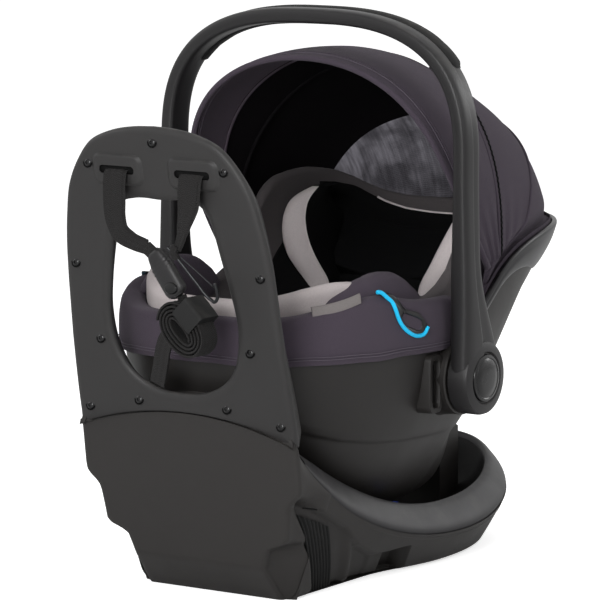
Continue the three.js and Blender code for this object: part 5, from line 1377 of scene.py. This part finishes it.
# ---------------------------------------------------------------- canopy
@dataclass(frozen=True)
class Canopy:
    """One fabric hood over its bows: rolled hem, crown and head, with its lining, seams and net window."""

    axis_y: float = 95.0
    axis_z: float = 314.0
    half_width: float = 185.5
    hem_angle: float = -26.0
    hem_bend: float = -13.6
    seam_angle: float = 7.0
    rear_angle: float = 74.0
    tuck_inset: float = 8.5
    tuck_rise: float = 34.0

    def radius(self, degrees: np.ndarray) -> np.ndarray:
        """Reach over the middle at an angle: long at the hem, dipping between the bows."""
        return curve_table([(-50, 304), (-26, 303), (-10, 280), (7, 266), (25, 256), (40, 264), (47, 268),
                            (60, 266.5), (74, 263)])(degrees)

    def rows(self, start: np.ndarray | float, end: np.ndarray | float, deep: float, count: int,
             columns: int = 150) -> np.ndarray:
        """Hoop-like lines across the hood at angles from start to end.

        Across each line the reach from the hinge axis falls from the radius to nothing at the sides. The
        sides lean forwards towards the hem, and low down the cloth is drawn in to pass inside the carrier's
        edge.

        Args:
            start: first angle from straight up in degrees, one number or one for each column.
            end: last angle.
            deep: how far inside the outer face.
            count: number of lines.
            columns: points across each line.

        Returns:
            (count, columns, 3) points in millimetres.
        """
        t = np.linspace(0, 1, count)[:, None]
        s = np.linspace(-1, 1, columns)[None, :]
        middle = lerp(np.atleast_1d(start)[None, :], np.atleast_1d(end)[None, :], t)
        front = (self.rear_angle - middle) / (self.rear_angle - self.hem_angle)
        degrees = middle + self.hem_bend * s ** 2 * front
        ease = smooth(self.hem_angle, self.seam_angle, degrees)
        spread = np.sign(s) * (math.pi / 2) * np.abs(s) ** 0.92 * 0.9995 + 0 * degrees
        reach = (self.radius(degrees) - deep) * np.abs(np.cos(spread)) ** (2 / lerp(4.2, 2.86, ease))
        x = (self.half_width - deep) * signed_power(np.sin(spread), 2 / lerp(2.0, 1.81, ease))
        a = np.radians(degrees)
        y, z = self.axis_y + reach * np.sin(a), self.axis_z + reach * np.cos(a)
        return self._tuck(np.stack([x, y, z], axis=-1), deep)

    def _tuck(self, rows: np.ndarray, deep: float) -> np.ndarray:
        """Draws low points in, so that they pass inside the carrier's edge."""
        out = rows.copy()
        over = rows[..., 2] - BUCKET.edge_height(rows[..., 1])
        limit = self.tuck_inset + deep
        hx, hy = BUCKET.half_width - limit, BUCKET.half_length - limit
        away = rows[..., 1] - BUCKET.middle
        size = (np.abs(rows[..., 0] / hx) ** 3 + np.abs(away / hy) ** 3) ** (1 / 3)
        pull = smooth(self.tuck_rise, 4, over)
        scale = lerp(1.0, np.minimum(1.0, 1 / size), pull)
        out[..., 0] *= scale
        out[..., 1] = BUCKET.middle + away * scale
        return out

    def _reach(self, rows: np.ndarray) -> np.ndarray:
        """Distance of points from the hinge axis."""
        return np.hypot(rows[..., 1] - self.axis_y, rows[..., 2] - self.axis_z)

    def _folds(self, rows: np.ndarray, seed: int) -> np.ndarray:
        """Soft gathers: waves across the hood that are strongest down at its sides."""
        reach = self._reach(rows)
        low = smooth(150, 40, reach)
        angle = np.degrees(np.arctan2(rows[..., 1] - self.axis_y, rows[..., 2] - self.axis_z))
        wave = 1.6 * np.sin(angle * 0.5 + 0.02 * reach) * low
        wave += 1.1 * ripple(rows, 130, seed) * (0.3 + 0.4 * low)
        inwards = np.stack([-np.sign(rows[..., 0]) * low, 0 * low, low - 1], axis=-1)
        return rows + unit(inwards) * np.maximum(wave, -0.6)[..., None]

    def build(self) -> None:
        """Makes both sheets, the lining, bows, seams and window."""
        front = sheet("hood_front", self._folds(self.rows(self.hem_angle, self.seam_angle, 0.0, 60), 4), -1.6)
        rear = sheet("hood_rear", self._folds(self.rows(self.seam_angle, self.rear_angle, 0.0, 80), 9), -1.6)
        place(front, CLOTH, None, "canopy_front")
        place(rear, CLOTH, None, "canopy_middle", "canopy_rear")
        self._ride(front, rear)
        self._flat(self.hem_angle, self.seam_angle)
        self._flat(self.seam_angle, self.rear_angle)
        self._lining()
        self._seams()

    def _ride(self, front: bpy.types.Object, rear: bpy.types.Object) -> None:
        """Lets a front piece bend between brow and crown, and a rear piece between crown and carrier."""
        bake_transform(front)
        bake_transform(rear)

    def _flat(self, start: float, end: float) -> tuple[float, float]:
        """Width across the hood and length along it before it was sewn, in metres."""
        rows = self.rows(start, end, 0.0, 40)
        width = np.linalg.norm(np.diff(rows, axis=1), axis=2).sum(axis=1).max()
        length = np.linalg.norm(np.diff(rows, axis=0), axis=2).sum(axis=0).max()
        return (float(width) * MM, float(length) * MM)

    def _lining(self) -> None:
        """Charcoal facing behind the hem, near-black lining behind it and a net window at the head."""
        s = np.linspace(-1, 1, 90)
        facing = sheet("hem_facing", self._folds(self.rows(self.hem_angle + 1.5, -7, 3.4, 26, 90), 21), -0.8)
        front = sheet("lining_front", self.rows(-7.5, self.seam_angle, 3.8, 20, 90), -0.8)
        top = 46 + 14 * np.clip(np.abs(s) / 0.62, 0, 2) ** 4
        top = np.minimum(top, self.rear_angle - 1.5)
        rear = sheet("lining_rear", self.rows(self.seam_angle, top, 3.4, 40, 90), -0.8)
        window = sheet("net_window", self.rows(top - 0.8, self.rear_angle - 1, 4.6, 24, 90), -0.6)
        place(facing, FACING, None)
        place(front, LINING, None)
        place(rear, LINING, None)
        place(window, NET, "carrier")
        self._ride(facing, rear)
        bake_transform(front)

    def _seams(self) -> None:
        """Rolled hem, raised seams at the bows, stitches beside the hem and a piping at the head end."""
        ring = circle(14)
        for name, degrees, radius, deep, finish, body in (
            ("hem_roll", self.hem_angle + 0.5, 3.4, 1.2, CLOTH, "canopy_brow"),
            ("hem_stitch_outer", self.hem_angle + 3.1, 0.45, -0.35, STITCH, "canopy_brow"),
            ("hem_stitch_inner", self.hem_angle + 2.9, 0.45, 4.3, STITCH, "canopy_brow"),
            ("hem_seam_outer", self.hem_angle + 4.2, 0.7, 0.1, CLOTH, "canopy_brow"),
            ("facing_bow", -7.0, 1.8, 4.6, FACING, "canopy_mid"),
            ("crown_seam", self.seam_angle, 1.3, 0.2, CLOTH, "canopy_mid"),
            ("crown_bow", self.seam_angle + 0.5, 2.4, 5.2, LINING, "canopy_mid"),
            ("head_piping", 44.0, 1.7, -0.7, CLOTH, "carrier"),
        ):
            line = self.rows(degrees, degrees, deep, 1, 200)[0]
            line = line[self._reach(line) > 22]
            away = unit(line - [0, self.axis_y, self.axis_z])
            place(sweep(name, line, away, ring * radius * np.array([1.0, 1.15])), finish, body)
        for side, name in ((-1, "left"), (1, "right")):
            line = self.rows(self.seam_angle + 3.4, self.seam_angle + 3.4, -0.8, 1, 420)[0]
            line = line[(line[:, 0] * side > 60) & (self._reach(line) > 24)]
            step = np.linalg.norm(np.diff(line, axis=0, prepend=line[:1]), axis=1).cumsum()
            zig = np.abs((step / 3.2) % 2 - 1) - 0.5
            line[:, 1] += zig * 2.4
            flat = pill(2.2, 1.4, 0.6, 3)
            place(sweep(f"gather_strip_{name}", line, (0, 1, 0), flat), BLACK_CLOTH, "canopy_mid")


# ---------------------------------------------------------------- base
@dataclass(frozen=True)
class Base:
    """Tub, upper housing with its tray, belt openings, side grilles and recline tower."""

    foot: float = -200.0
    seam_half: float = 148.0
    seam_head: float = 300.0
    ridge_half: float = 122.0
    ridge_head: float = 280.0
    sole_half: float = 102.0
    sole_head: float = 262.0
    sole_spread: float = 18.0
    round_start: float = 75.0
    power: float = 2.2
    tray_floor: float = 24.0
    tray_half: float = 84.0
    tray_head: float = 232.0
    tray_foot: float = -132.0
    lean: float = 0.65
    ribs_foot: float = -159.0
    ribs_head: float = -121.0
    rib_pitch: float = 5.2
    rib_height: float = 1.2
    rib_inset: float = 8.5

    def seam(self, y: np.ndarray) -> np.ndarray:
        """Height of the seam between tub and housing."""
        u, v = np.maximum(0, 80 - y) / 220, np.maximum(0, y - 80) / 220
        return 40 + 48 * u ** 2 + u ** 8 + 46 * v ** 2

    def ridge(self, y: np.ndarray) -> np.ndarray:
        """Height of the housing's upper edge."""
        u, v = np.maximum(0, 65 - y) / 165, np.maximum(0, y - 65) / 214
        return 73 + 36 * u ** 1.8 + 40 * v ** 2.2

    def line(self, half: float, foot: float, head: float, sides: int = 70, end: int = 90,
             spread: float = 0.0) -> np.ndarray:
        """Plan line: up one side that spreads headwards, round the head end and back, as (n, 2)."""
        y = np.linspace(foot, self.round_start, sides, endpoint=False)
        wide = half + spread
        half = half + spread * smooth(-51, self.round_start, y)
        taper = 9 * np.clip((self.foot - y) / 63, 0, 1)
        turn = np.linspace(0, math.pi, end)
        arc = np.column_stack([wide * signed_power(np.cos(turn), 2 / self.power),
                               lerp(self.round_start, head, np.sin(turn) ** (2 / self.power))])
        right = np.stack([half - taper, y], axis=1)
        left = np.stack([-(half - taper), y], axis=1)[::-1]
        return np.concatenate([right, arc, left])

    def build(self) -> None:
        """Makes the base's large surfaces."""
        self._tub()
        self._housing()
        self._grilles()

    def recess(self, y: np.ndarray, z: np.ndarray) -> np.ndarray:
        """Depth of the side's recess: under a drooping edge, with a column and a deeper belt opening."""
        top = table([(-245, 124), (-238, 121), (-196, 100), (-153, 77), (-118, 51), (-77, 33), (-50, 32),
                     (30, 36)])(y)
        slant = y + self.lean * z
        inside = smooth(-167, -160, slant) * smooth(8, 4, slant) * smooth(top + 2, top - 2, z)
        column = 6.5 * np.exp(-(((slant + 93) / 7) ** 2)) + 2.5 * smooth(-58, -50, slant)
        return inside * (11.0 - column + 13.0 * smooth(-29, -24, slant) * smooth(0, 6, z))

    def _tub(self) -> None:
        """Tub side: a sloping wall on a rolled sole, pressed in at the arch and the belt opening."""
        rows = []
        for k in np.linspace(0, 1, 64):
            half = lerp(self.sole_half, self.seam_half, k)
            head = lerp(self.sole_head, self.seam_head, k ** 0.95)
            plan = self.line(half, self.foot, head, 150, 100, self.sole_spread * (1 - k))
            rise = self.seam(plan[:, 1]) - 0.6
            roll = 7 * (1 - min(1, k / 0.12)) ** 2
            outward = unit(np.column_stack([np.sign(plan[:, 0]), 0 * plan[:, 0]]) + 1e-9)
            plan = plan - outward * roll * (plan[:, :1] != 0)
            rows.append(np.column_stack([plan, rise * k ** 1.02]))
        rows = np.array(rows)
        y, z = rows[..., 1], rows[..., 2]
        rows[..., 0] -= np.sign(rows[..., 0]) * self.recess(y, z)
        lip = rows[-1] - np.outer(np.sign(rows[-1, :, 0]), [3, 0, 0])
        rows = np.concatenate([rows, lip[None], lip[None] - [0, 0, 6]])
        tub = skin("tub_wall", rows, sharp=60)
        place(tub, BASE, "base", "base_tub")
        sole = self.line(self.sole_half - 6, self.foot, self.sole_head - 4, 30, 60, self.sole_spread)
        centre = np.column_stack([sole * [0.02, 0.9], np.full(len(sole), 0.6)])
        edge = np.column_stack([sole, np.full(len(sole), 0.6)])
        place(skin("tub_sole", np.stack([edge, centre])), BASE, "base")

    def _housing(self) -> None:
        """Upper housing: a swelling band up to a rolled ridge, then down into the tray."""
        seam_half, seam_head = self.seam_half, self.seam_head
        ridge_half, ridge_head = self.ridge_half, self.ridge_head
        tray_half, tray_head = self.tray_half, self.tray_head
        seam, ridge = self.seam, self.ridge

        def floor(y: np.ndarray) -> np.ndarray:
            """Height of the tray's floor, the same at every y."""
            return np.full_like(y, self.tray_floor)

        steps_in = [  # half width, foot and head ends, two heights, share between them, lift
            (seam_half - 3.5, -238, seam_head - 3.5, seam, ridge, 0, -3),
            (seam_half - 0.8, -238, seam_head - 0.8, seam, ridge, 0, 0.7),
            (seam_half - 0.6, -238, seam_head - 0.6, seam, ridge, 0.14, 0),
            (seam_half - 5, -237, seam_head - 4.5, seam, ridge, 0.38, 0),
            (seam_half - 12, -236, seam_head - 10, seam, ridge, 0.64, 0),
            (ridge_half + 7, -235, ridge_head + 5, seam, ridge, 0.88, 0),
            (ridge_half + 1.5, -233, ridge_head + 0.5, seam, ridge, 1, -0.6),
            (ridge_half - 1, -232, ridge_head - 1, seam, ridge, 1, -0.8),
            (ridge_half - 3, -230, ridge_head - 3, seam, ridge, 1, -3),
            (ridge_half - 5, -226, ridge_head - 5, seam, ridge, 1, -12),
            (113, -172, 262, floor, ridge, 0.5, 0),
            (tray_half + 6, -138, tray_head + 4, floor, ridge, 0, 12),
            (tray_half - 6, self.tray_foot, tray_head - 6, floor, ridge, 0, 1),
            (tray_half - 40, self.tray_foot + 40, tray_head - 60, floor, ridge, 0, 0),
        ]
        rows = []
        for half, foot, head, low, high, share, lift in steps_in:
            plan = self.line(half, foot, head, 90, 110)
            y = plan[:, 1]
            rows.append(np.column_stack([plan, lerp(low(y), high(y), share) + lift]))
        rows = soften(np.array(rows).transpose(1, 0, 2), 1, closed=False).transpose(1, 0, 2)
        split = int(rows.shape[0] * 0.62)
        band = skin("housing_band", rows[:split + 1], sharp=60)
        place(band, BAND, "base", "base_upper_housing")
        bowl = skin("housing_bowl", rows[split:], caps=False)
        place(bowl, BOWL, "base")

    def _grilles(self) -> None:
        """Ribbed dark plates in the arches."""
        for side, name in ((-1, "left"), (1, "right")):
            slant = np.linspace(self.ribs_foot, self.ribs_head, 200)[None, :]
            z = lerp(2, np.linspace(102, 82, 200)[None, :], np.linspace(0, 1, 30)[:, None])
            y = slant - self.lean * z
            wave = np.sin((slant - self.ribs_foot) * 2 * math.pi / self.rib_pitch)
            x = ReboundPanel().flank(y, z) - self.rib_inset + self.rib_height * signed_power(wave, 0.6)
            plate = skin(f"arch_ribs_{name}", np.stack([side * x, y, z], axis=-1), sharp=50)
            place(plate, RUBBER, "base", f"side_grille_{name}")


# ---------------------------------------------------------------- rebound panel
@dataclass(frozen=True)
class ReboundPanel:
    """Leaning panel with its window, strap slots, screws and lower cover."""

    seam_crown: float = 209.0
    seam_drop: float = 24.0
    half: float = 144.5
    slot_x: float = 50.0
    slot_z: float = 478.0
    cover_back: float = -196.0
    cover_front: float = -268.0
    foot_half: float = 102.3
    foot_spread: float = 46.0

    def face(self, z: np.ndarray) -> np.ndarray:
        """Y of the panel's front face at a height."""
        return table([(0, -207), (40, -240), (198, -263), (286, -282), (370, -296), (511, -322),
                      (540, -326)])(z)

    def _outline(self) -> np.ndarray:
        """Frame outline with the seam's arch as its lower edge, as (n, 2) in x and z."""
        side = curve([(self.half, 183.3), (self.half, 212), (143.5, 248), (141.8, 284), (140.3, 320),
                      (138.6, 356), (135.6, 391), (130, 426), (121, 461), (107, 486), (86, 509), (58, 521),
                      (28, 526.5), (0, 528)], 130)
        arch_x = np.linspace(-self.half, self.half, 90)[1:-1]
        arch = np.column_stack([arch_x, self.arch(arch_x)])
        return np.concatenate([side, (side * [-1, 1])[::-1][1:], arch])

    def arch(self, x: np.ndarray) -> np.ndarray:
        """Height of the seam with the lower cover."""
        return self.seam_crown - self.seam_drop * (x / 139.5) ** 2

    def _window(self, grow: float = 0.0) -> np.ndarray:
        """Window outline, grown outwards, as (n, 2)."""
        half = curve([(0, 231), (26, 233), (52, 243), (72, 262), (82, 288), (84, 318), (79, 350), (72, 384),
                      (66.5, 412), (62.5, 428), (52, 442.5), (36, 447), (0, 447)], 160)
        loop = np.concatenate([half, (half * [-1, 1])[::-1][1:-1]])
        return loop + unit(loop - [0, 335]) * grow

    def _pairs(self) -> tuple[np.ndarray, np.ndarray]:
        """Outline points and the window points that face them."""
        outer, window = self._outline(), self._window()
        middle = np.array([0.0, 330.0])
        turn = np.arctan2(*(outer - middle).T[::-1])
        window_turn = np.arctan2(*(window - middle).T[::-1])
        order = np.argsort(window_turn)
        inner = np.stack([np.interp(turn, window_turn[order], window[order, k], period=2 * math.pi)
                          for k in (0, 1)], axis=1)
        return outer, inner

    def _ring(self, plan: np.ndarray, depth: np.ndarray) -> np.ndarray:
        """Lifts (x, z) points onto the leaning face, moved back by a depth."""
        return np.column_stack([plan[:, 0], self.face(plan[:, 1]) + depth, plan[:, 1]])

    def build(self) -> None:
        """Makes the panel's surfaces."""
        outer, inner = self._pairs()
        way = unit(outer - inner)
        arch = (outer[:, 1] < self.seam_crown + 0.5) & (np.abs(outer[:, 0]) < self.half - 0.5)
        soft = np.where(arch, 0.22, 1.0)[:, None]
        near = [(13, 23), (6, 13), (1.6, 7.5), (0, 5), (0.8, 2.8), (3, 0.9), (7, -0.6), (11, -0.5), (15, 0.0)]
        far = [(9, 0.0), (4.5, 0.5), (1.6, 2.2), (0.3, 4.4), (0.0, 6.5), (1.6, 9.0), (5.6, 14.0),
               (11.0, 22.0)]
        rows = [self._ring(inner + way * off, d) for off, d in near]
        rows += [self._ring(lerp(inner + way * 15, outer - way * 9 * soft, t), 0.0) for t in (0.3, 0.65)]
        rows += [self._ring(outer - way * off * soft, (d * soft)[:, 0]) for off, d in far]
        front = skin("panel_front", np.stack(rows), around=True)
        place(front, PANEL, "base", "rebound_frame_front")
        back = [(outer, 11.6, 22.6), (outer, 16, 29), (outer, 19.5, 33), (inner, -19.5, 33), (inner, -17, 29),
                (inner, -13.6, 23)]
        rows = [self._ring(line - way * off, d) for line, off, d in back]
        place(skin("panel_back", np.stack(rows), around=True, sharp=40), BASE, "base", "rebound_frame_rear")
        for side, name in ((-1, "left"), (1, "right")):
            self._slot(side * self.slot_x, name)
        self._screws()
        self._nose()

    def _slot(self, x: float, name: str) -> None:
        """A raised pad with a dark slot that a strap comes through."""
        ring = pill(62, 32, 9, 7)
        rows = [self._ring(ring * s + [x, self.slot_z], d) for s, d in
                ((1.12, 0.4), (1.04, -0.6), (0.99, -2.2), (0.93, -3.0), (0.8, -3.1))]
        inner = pill(46, 9, 4, 7)
        rows += [self._ring(inner + [x, self.slot_z], d) for d in (-3.1, -2.2, 4.0)]
        place(skin(f"slot_pad_{name}", np.stack(rows), around=True, sharp=45), PANEL, "base")
        rows = [self._ring(inner * 1.02 + [x, self.slot_z], d) for d in (-2.0, -1.9)]
        # The slot: a shallow disc of painted shade.
        place(skin(f"slot_shade_{name}", np.stack(rows), around=True, caps=True), PAINTED_SHADE, "base")

    def _screws(self) -> None:
        """Domed socket screws, each in a dark ring."""
        pairs = [(90, 484), (50, 460), (123, 370), (100, 286), (128, 206), (59, 219)]
        places = [(0, 511)] + [(side * x, z) for x, z in pairs for side in (1, -1)]
        for k, (x, z) in enumerate(places):
            slope = float(self.face(np.array(z + 6.0)) - self.face(np.array(z - 6.0))) / 12
            out = np.array([0.0, -1.0, -slope])
            centre = np.array([x, float(self.face(np.array(float(z)))), z])
            ring = [(6.3, -0.2), (6.1, 0.35), (5.5, 0.25), (5.2, -0.9), (5.0, -1.0)]
            # A ring of painted shade round each screw head.
            place(lathe(f"screw_well_shade_{k + 1}", ring, centre, out, 28), PAINTED_SHADE, "base")
            head = [(4.9, -1.2), (4.8, -0.2), (4.2, 0.7), (3.0, 1.3), (2.1, 1.5), (1.9, 0.3), (0.4, 0.1)]
            place(lathe(f"screw_head_{k + 1}", head, centre, out, 28), SCREW, "base", f"panel_screw_{k + 1}")

    def width(self, z: np.ndarray) -> np.ndarray:
        """Half width of the lower cover's face at a height."""
        return curve_table([(211, 144.5), (157, 145), (140, 145.2), (131, 144.5), (126, 141), (119, 133),
                            (114, 129), (107, 127), (86, 124), (76, 123), (71, 118), (66, 104), (61, 95.5),
                            (52, 92), (41, 88), (0, 90.5)], 3)(z)

    def flank(self, y: np.ndarray, z: np.ndarray) -> np.ndarray:
        """Half width of the lower cover and the tub at a place, before the recess."""
        start = self.face(z) + 5
        t = np.clip((y - start) / np.maximum(self.cover_back - start, 1), 0, 1)
        end = self.foot_half + self.foot_spread * z / Base().seam(np.maximum(y, self.cover_back))
        return lerp(self.width(z), end, (t * t * (3 - 2 * t)) ** 1.3)

    def _nose(self) -> None:
        """Lower cover: a leaning face stepped in twice at its sides, whose flanks run back to the tub."""
        base = Base()
        stretches = [(0, 40, 14), (40, 60, 8), (60, 76, 12), (76, 106, 12), (106, 130, 14), (130, 211, 30)]
        z = np.unique(np.concatenate([np.linspace(*stretch) for stretch in stretches]))
        width = self.width(z)
        kernel = np.array([0.25, 0.5, 0.25])
        face = self.face(z)
        face[1:-1] = np.convolve(face, kernel, mode="valid")
        seam_y = np.linspace(self.cover_front, self.cover_back, 80)
        seam_z = base.seam(seam_y)
        low = z < seam_z[-1]
        end_y = np.where(low, self.cover_back, np.interp(z, seam_z[::-1], seam_y[::-1]))
        wide = self.foot_half + self.foot_spread
        end_x = np.where(low, self.foot_half + self.foot_spread * z / seam_z[-1],
                         wide - 9 * (base.foot - end_y) / 63)
        across = np.linspace(0, 1, 26)
        turn = np.linspace(0, math.pi / 2, 6)[1:]
        r = 5.0
        start_y = np.minimum(face + r, end_y - 0.5)
        t = np.linspace(0, 1, 22)[1:]
        flank = t * t * (3 - 2 * t)
        x = np.concatenate([across[None] * (width - r)[:, None],
                            (width - r)[:, None] + r * np.sin(turn)[None],
                            lerp(width[:, None], end_x[:, None], flank[None] ** 1.3)], axis=1)
        y = np.concatenate([np.broadcast_to(face[:, None], (len(z), 26)),
                            lerp(face[:, None], start_y[:, None], 1 - np.cos(turn)[None]),
                            lerp(start_y[:, None], end_y[:, None], t[None])], axis=1)
        up = np.broadcast_to(z[:, None], x.shape).copy()
        top = self.arch(np.minimum(np.abs(x), self.half)) - 0.8
        crest = base.seam(np.maximum(y, self.cover_front)) - 0.6
        up = np.minimum(up, np.where(y < -262 + 0 * x, top, np.maximum(top, crest)))
        x = x - base.recess(y, up) * smooth(0.5, 1.0, (y - start_y[:, None]) / 6 + 0.5)
        right = np.stack([x, y, up], axis=-1)
        behind = smooth(-255, -262, right[-1:, :, 1:2])
        right = np.concatenate([right, right[-1:] + [-1, 5.0, 0.0] * behind,
                                right[-1:] + [-3, 6.0, 9.0] * behind + [-2, 0, -3] * (1 - behind)])
        rows = np.concatenate([mirrored(right)[:, ::-1], right[:, 1:]], axis=1)
        nose = skin("lower_cover", rows[::-1], sharp=60)
        place(nose, BASE, "base", "rebound_lower_cover")
        for side, name in ((-1, "left"), (1, "right")):
            # Side vents: thin lines of painted shade where the slits lie.
            vent = np.array([(137.5, -236, 113), (139.4, -224, 110.4), (141, -214, 108)]) * [side, 1, 1]
            place(sweep(f"side_vent_shade_{name}", curve(vent, 20), (0, 0, 1), circle(8, 0.9)), PAINTED_SHADE, "base")


# ---------------------------------------------------------------- anchor straps
@dataclass(frozen=True)
class AnchorStraps:
    """The two straps that hang through the panel: adjuster, wire hook, rolled spare and its tail."""

    panel: ReboundPanel = ReboundPanel()

    def _hang(self, points: Sequence[Sequence[float]], count: int) -> np.ndarray:
        """A smooth line through (x, distance in front of the face, z) points."""
        p = curve(points, count)
        return np.column_stack([p[:, 0], self.panel.face(p[:, 2]) - p[:, 1], p[:, 2]])

    def _strap(
        self, name: str, points: list, widths: list, thick: float = 1.9, count: int = 90
    ) -> bpy.types.Object:
        """A flat strap along hung points, its width eased through the given ones."""
        path = self._hang(points, count)
        side = np.cross(unit(np.gradient(path, axis=0)), [0, -1, 0])
        w = np.interp(np.linspace(0, 1, count), np.linspace(0, 1, len(widths)), widths)
        unit_section = pill(1, thick, thick * 0.45, 4)
        section = unit_section[None] * np.stack([w, np.ones(count)], axis=1)[:, None]
        bow = 0.8 * np.cos(unit_section[None, :, 0] * math.pi) * np.ones((count, 1))
        section = np.stack([section[..., 0], section[..., 1] + bow], axis=-1)
        return sweep(name, path, side, section, sharp=70)

    def build(self) -> None:
        """Makes every hanging piece."""
        left = self._strap("strap_left", [(-50, -12, 480), (-50, 4, 477), (-50, 9, 466), (-50, 13, 445),
                                          (-48, 17, 425), (-41, 20, 411), (-28, 20, 403), (-8, 20, 397)],
                           [30, 30, 30, 30, 28, 24, 19, 17])
        place(left, WEBBING, "base", "anchor_strap_left")
        right = self._strap("strap_right", [(50, -12, 480), (50, 4, 477), (49.5, 9, 466), (48, 13, 445),
                                            (43, 17, 425), (38, 20, 408), (32, 20, 397)],
                            [30, 30, 30, 28, 20, 13, 10])
        place(right, WEBBING, "base", "anchor_strap_right")
        self._housing()
        self._hook()
        self._roll()

    def _housing(self) -> None:
        """Strap adjuster: a ribbed body with a push button at its lower end."""
        axis = np.array([math.sin(math.radians(36)), 0, -math.cos(math.radians(36))])
        middle = np.array([14.0, float(self.panel.face(np.array(370.0))) - 20, 370.0])
        s = np.linspace(-29, 29, 90)
        path = middle + s[:, None] * axis
        size = 1 + 0.025 * np.sin(s * 1.25) * smooth(-18, -12, s) * smooth(2, -4, s)
        ends = np.clip(1 - (np.abs(s) / 29.5) ** 10, 0.3, 1) ** 0.5
        width = lerp(20.0, 26.0, smooth(-26, -6, s)) * size * ends
        section = pill(1, 1, 0.3, 5)[None] * np.stack([width, 13 * size * ends], axis=1)[:, None]
        body = sweep("adjuster_case", path, np.cross(axis, [0, -1, 0]), section, sharp=60)
        place(body, HANDLE, "base", "strap_adjuster")
        button = [(6.4, 0), (6.4, 2.2), (5.6, 3.4), (3, 3.9), (0.5, 4.0)]
        at = middle + axis * 19 + np.array([0, -5.6, 0])
        cap = lathe("adjuster_push_cap", button, at, (0, -1, 0.17), 30, 1.25)
        place(cap, BLACK_GLOSS, "adjuster_push", "adjuster_button")
        line = self._hang([(-9, 20, 397), (-4, 20, 393), (2, 20, 388)], 14)
        lead = sweep("adjuster_lead", line, np.cross(axis, [0, -1, 0]), pill(16, 2.4, 1.1, 4))
        place(lead, WEBBING, "base")

    def _hook(self) -> None:
        """Bent wire hook with its thin gate."""
        ring = circle(14)
        path = self._hang([(19, 20, 399), (32, 20, 386), (52, 20, 363), (69, 20, 345), (74, 20, 342.5),
                           (78, 20, 346), (79, 20, 354), (76.5, 20, 363)], 80)
        place(sweep("hook_wire", path, (0, 1, 0), ring * 1.9), BLACK_STEEL, "base", "anchor_hook")
        gate = self._hang([(34, 20, 390), (55, 20, 374.5), (75, 20, 359)], 20)
        place(sweep("gate_wire", gate, (0, 1, 0), ring * 0.8), BLACK_STEEL, "gate", "hook_gate")
        loop = self._hang([(30, 20, 401), (27, 20, 393), (30, 20, 386)], 20)
        place(sweep("hook_stitching", loop, (1, 0, 0), pill(9, 5, 1.6, 4)), WEBBING, "base")

    def _roll(self) -> None:
        """Spare webbing wound flat, its keeper and its tail."""
        turns = np.linspace(0, 4.6 * 2 * math.pi, 520)
        grow = lerp(0.16, 1.0, turns / turns[-1])
        a = math.radians(-45)
        flat_x = signed_power(np.cos(turns), 0.9) * (12 + 22 * grow)
        flat_z = signed_power(np.sin(turns), 0.9) * 24.5 * grow
        x = 35 + flat_x * math.cos(a) - flat_z * math.sin(a)
        z = 309 + flat_x * math.sin(a) + flat_z * math.cos(a)
        y = np.full_like(x, float(self.panel.face(np.array(309.0))) - 21)
        y += 0.8 * ripple(np.column_stack([x, y, z]), 60, 2)
        path = np.column_stack([x, y, z])
        roll = sweep("strap_roll", path, (0, 1, 0), pill(29, 2.5, 1.1, 4), sharp=70)
        place(roll, WEBBING, "base", "rolled_strap")
        axis = np.array([math.cos(a), 0, math.sin(a)])
        middle = np.array([45.5, y[0], 326.0])
        ring = pill(27, 34, 4, 6)
        across = np.array([-axis[2], 0, axis[0]])
        section = ring[:, :1] * across + ring[:, 1:] * np.array([0, 1.0, 0])
        rows = np.stack([middle + axis * h + section * s for h, s in (
            (-14.5, 0.96), (-15, 1.0), (-7, 1.02), (7, 1.02), (15, 1.0), (14.5, 0.96))])
        keeper = skin("keeper_band", rows, around=True, caps=True, sharp=50)
        place(keeper, RUBBER, "base", "strap_keeper")
        tail = self._strap("strap_tail", [(17, 22, 303), (6, 21, 296), (-1, 20, 284), (-8, 19, 266),
                                          (-17, 18, 243)], [20, 20], 2.2, 60)
        place(tail, WEBBING, "base")
        lead = self._strap("strap_lead", [(31, 20, 347), (33, 20, 338), (30, 20, 330)], [12, 12, 13], 2.2, 20)
        place(lead, WEBBING, "base")


# ---------------------------------------------------------------- what is left of the part
SLOT_FINISH = {
    "shell_plastic": SHELL, "base_plastic": BASE, "bowl_plastic": BOWL, "gloss_plastic": BLACK_GLOSS,
    "handle_plastic": HANDLE, "charcoal_fabric": CLOTH, "grey_fabric": GREY, "black_fabric": BLACK_CLOTH,
    "webbing": WEBBING, "foam": FOAM, "steel": STEEL, "screw_steel": SCREW, "dark_rubber": RUBBER,
    "red_plastic": RED, "bubble_fluid": FLUID,
}


def dress_rest() -> None:
    """Gives each part node that no new piece stands for a finish and rounded edges."""
    replaced = {n for obj in bpy.data.objects for n in _replaced(obj)}
    slots = {entry["node"]: entry["material_slot"] for entry in frame["record"]["subparts"]}
    for name, obj in frame["nodes"].items():
        if name in replaced:
            continue
        finish = SLOT_FINISH.get(slots.get(name, ""), BASE)
        obj.data.materials.clear()
        obj.data.materials.append(finish.material())
        bevel = obj.modifiers.new("soft_edges", "BEVEL")
        bevel.width, bevel.segments, bevel.limit_method = 0.9 * MM, 3, "ANGLE"
        bevel.harden_normals = True
        log.info("dressed part node %s with %s", name, finish.name)


def _replaced(obj: bpy.types.Object) -> list[str]:
    """The part nodes that a piece stands for."""
    return list(obj.get("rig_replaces", []))


def main() -> None:
    """Builds the studio and every piece, and keeps the sizes before and after."""
    logging.basicConfig(level=logging.INFO, format="%(name)s: %(message)s")
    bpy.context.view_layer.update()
    for piece in (Studio(), Base(), ReboundPanel(), AnchorStraps(), CarrierShell(), SeatCover(), Interior(),
                  Handle(), Canopy()):
        piece.build()
        log.info("built %s: %s", type(piece).__name__, type(piece).__doc__)
    dress_rest()


if __name__ == "__main__":
    main()
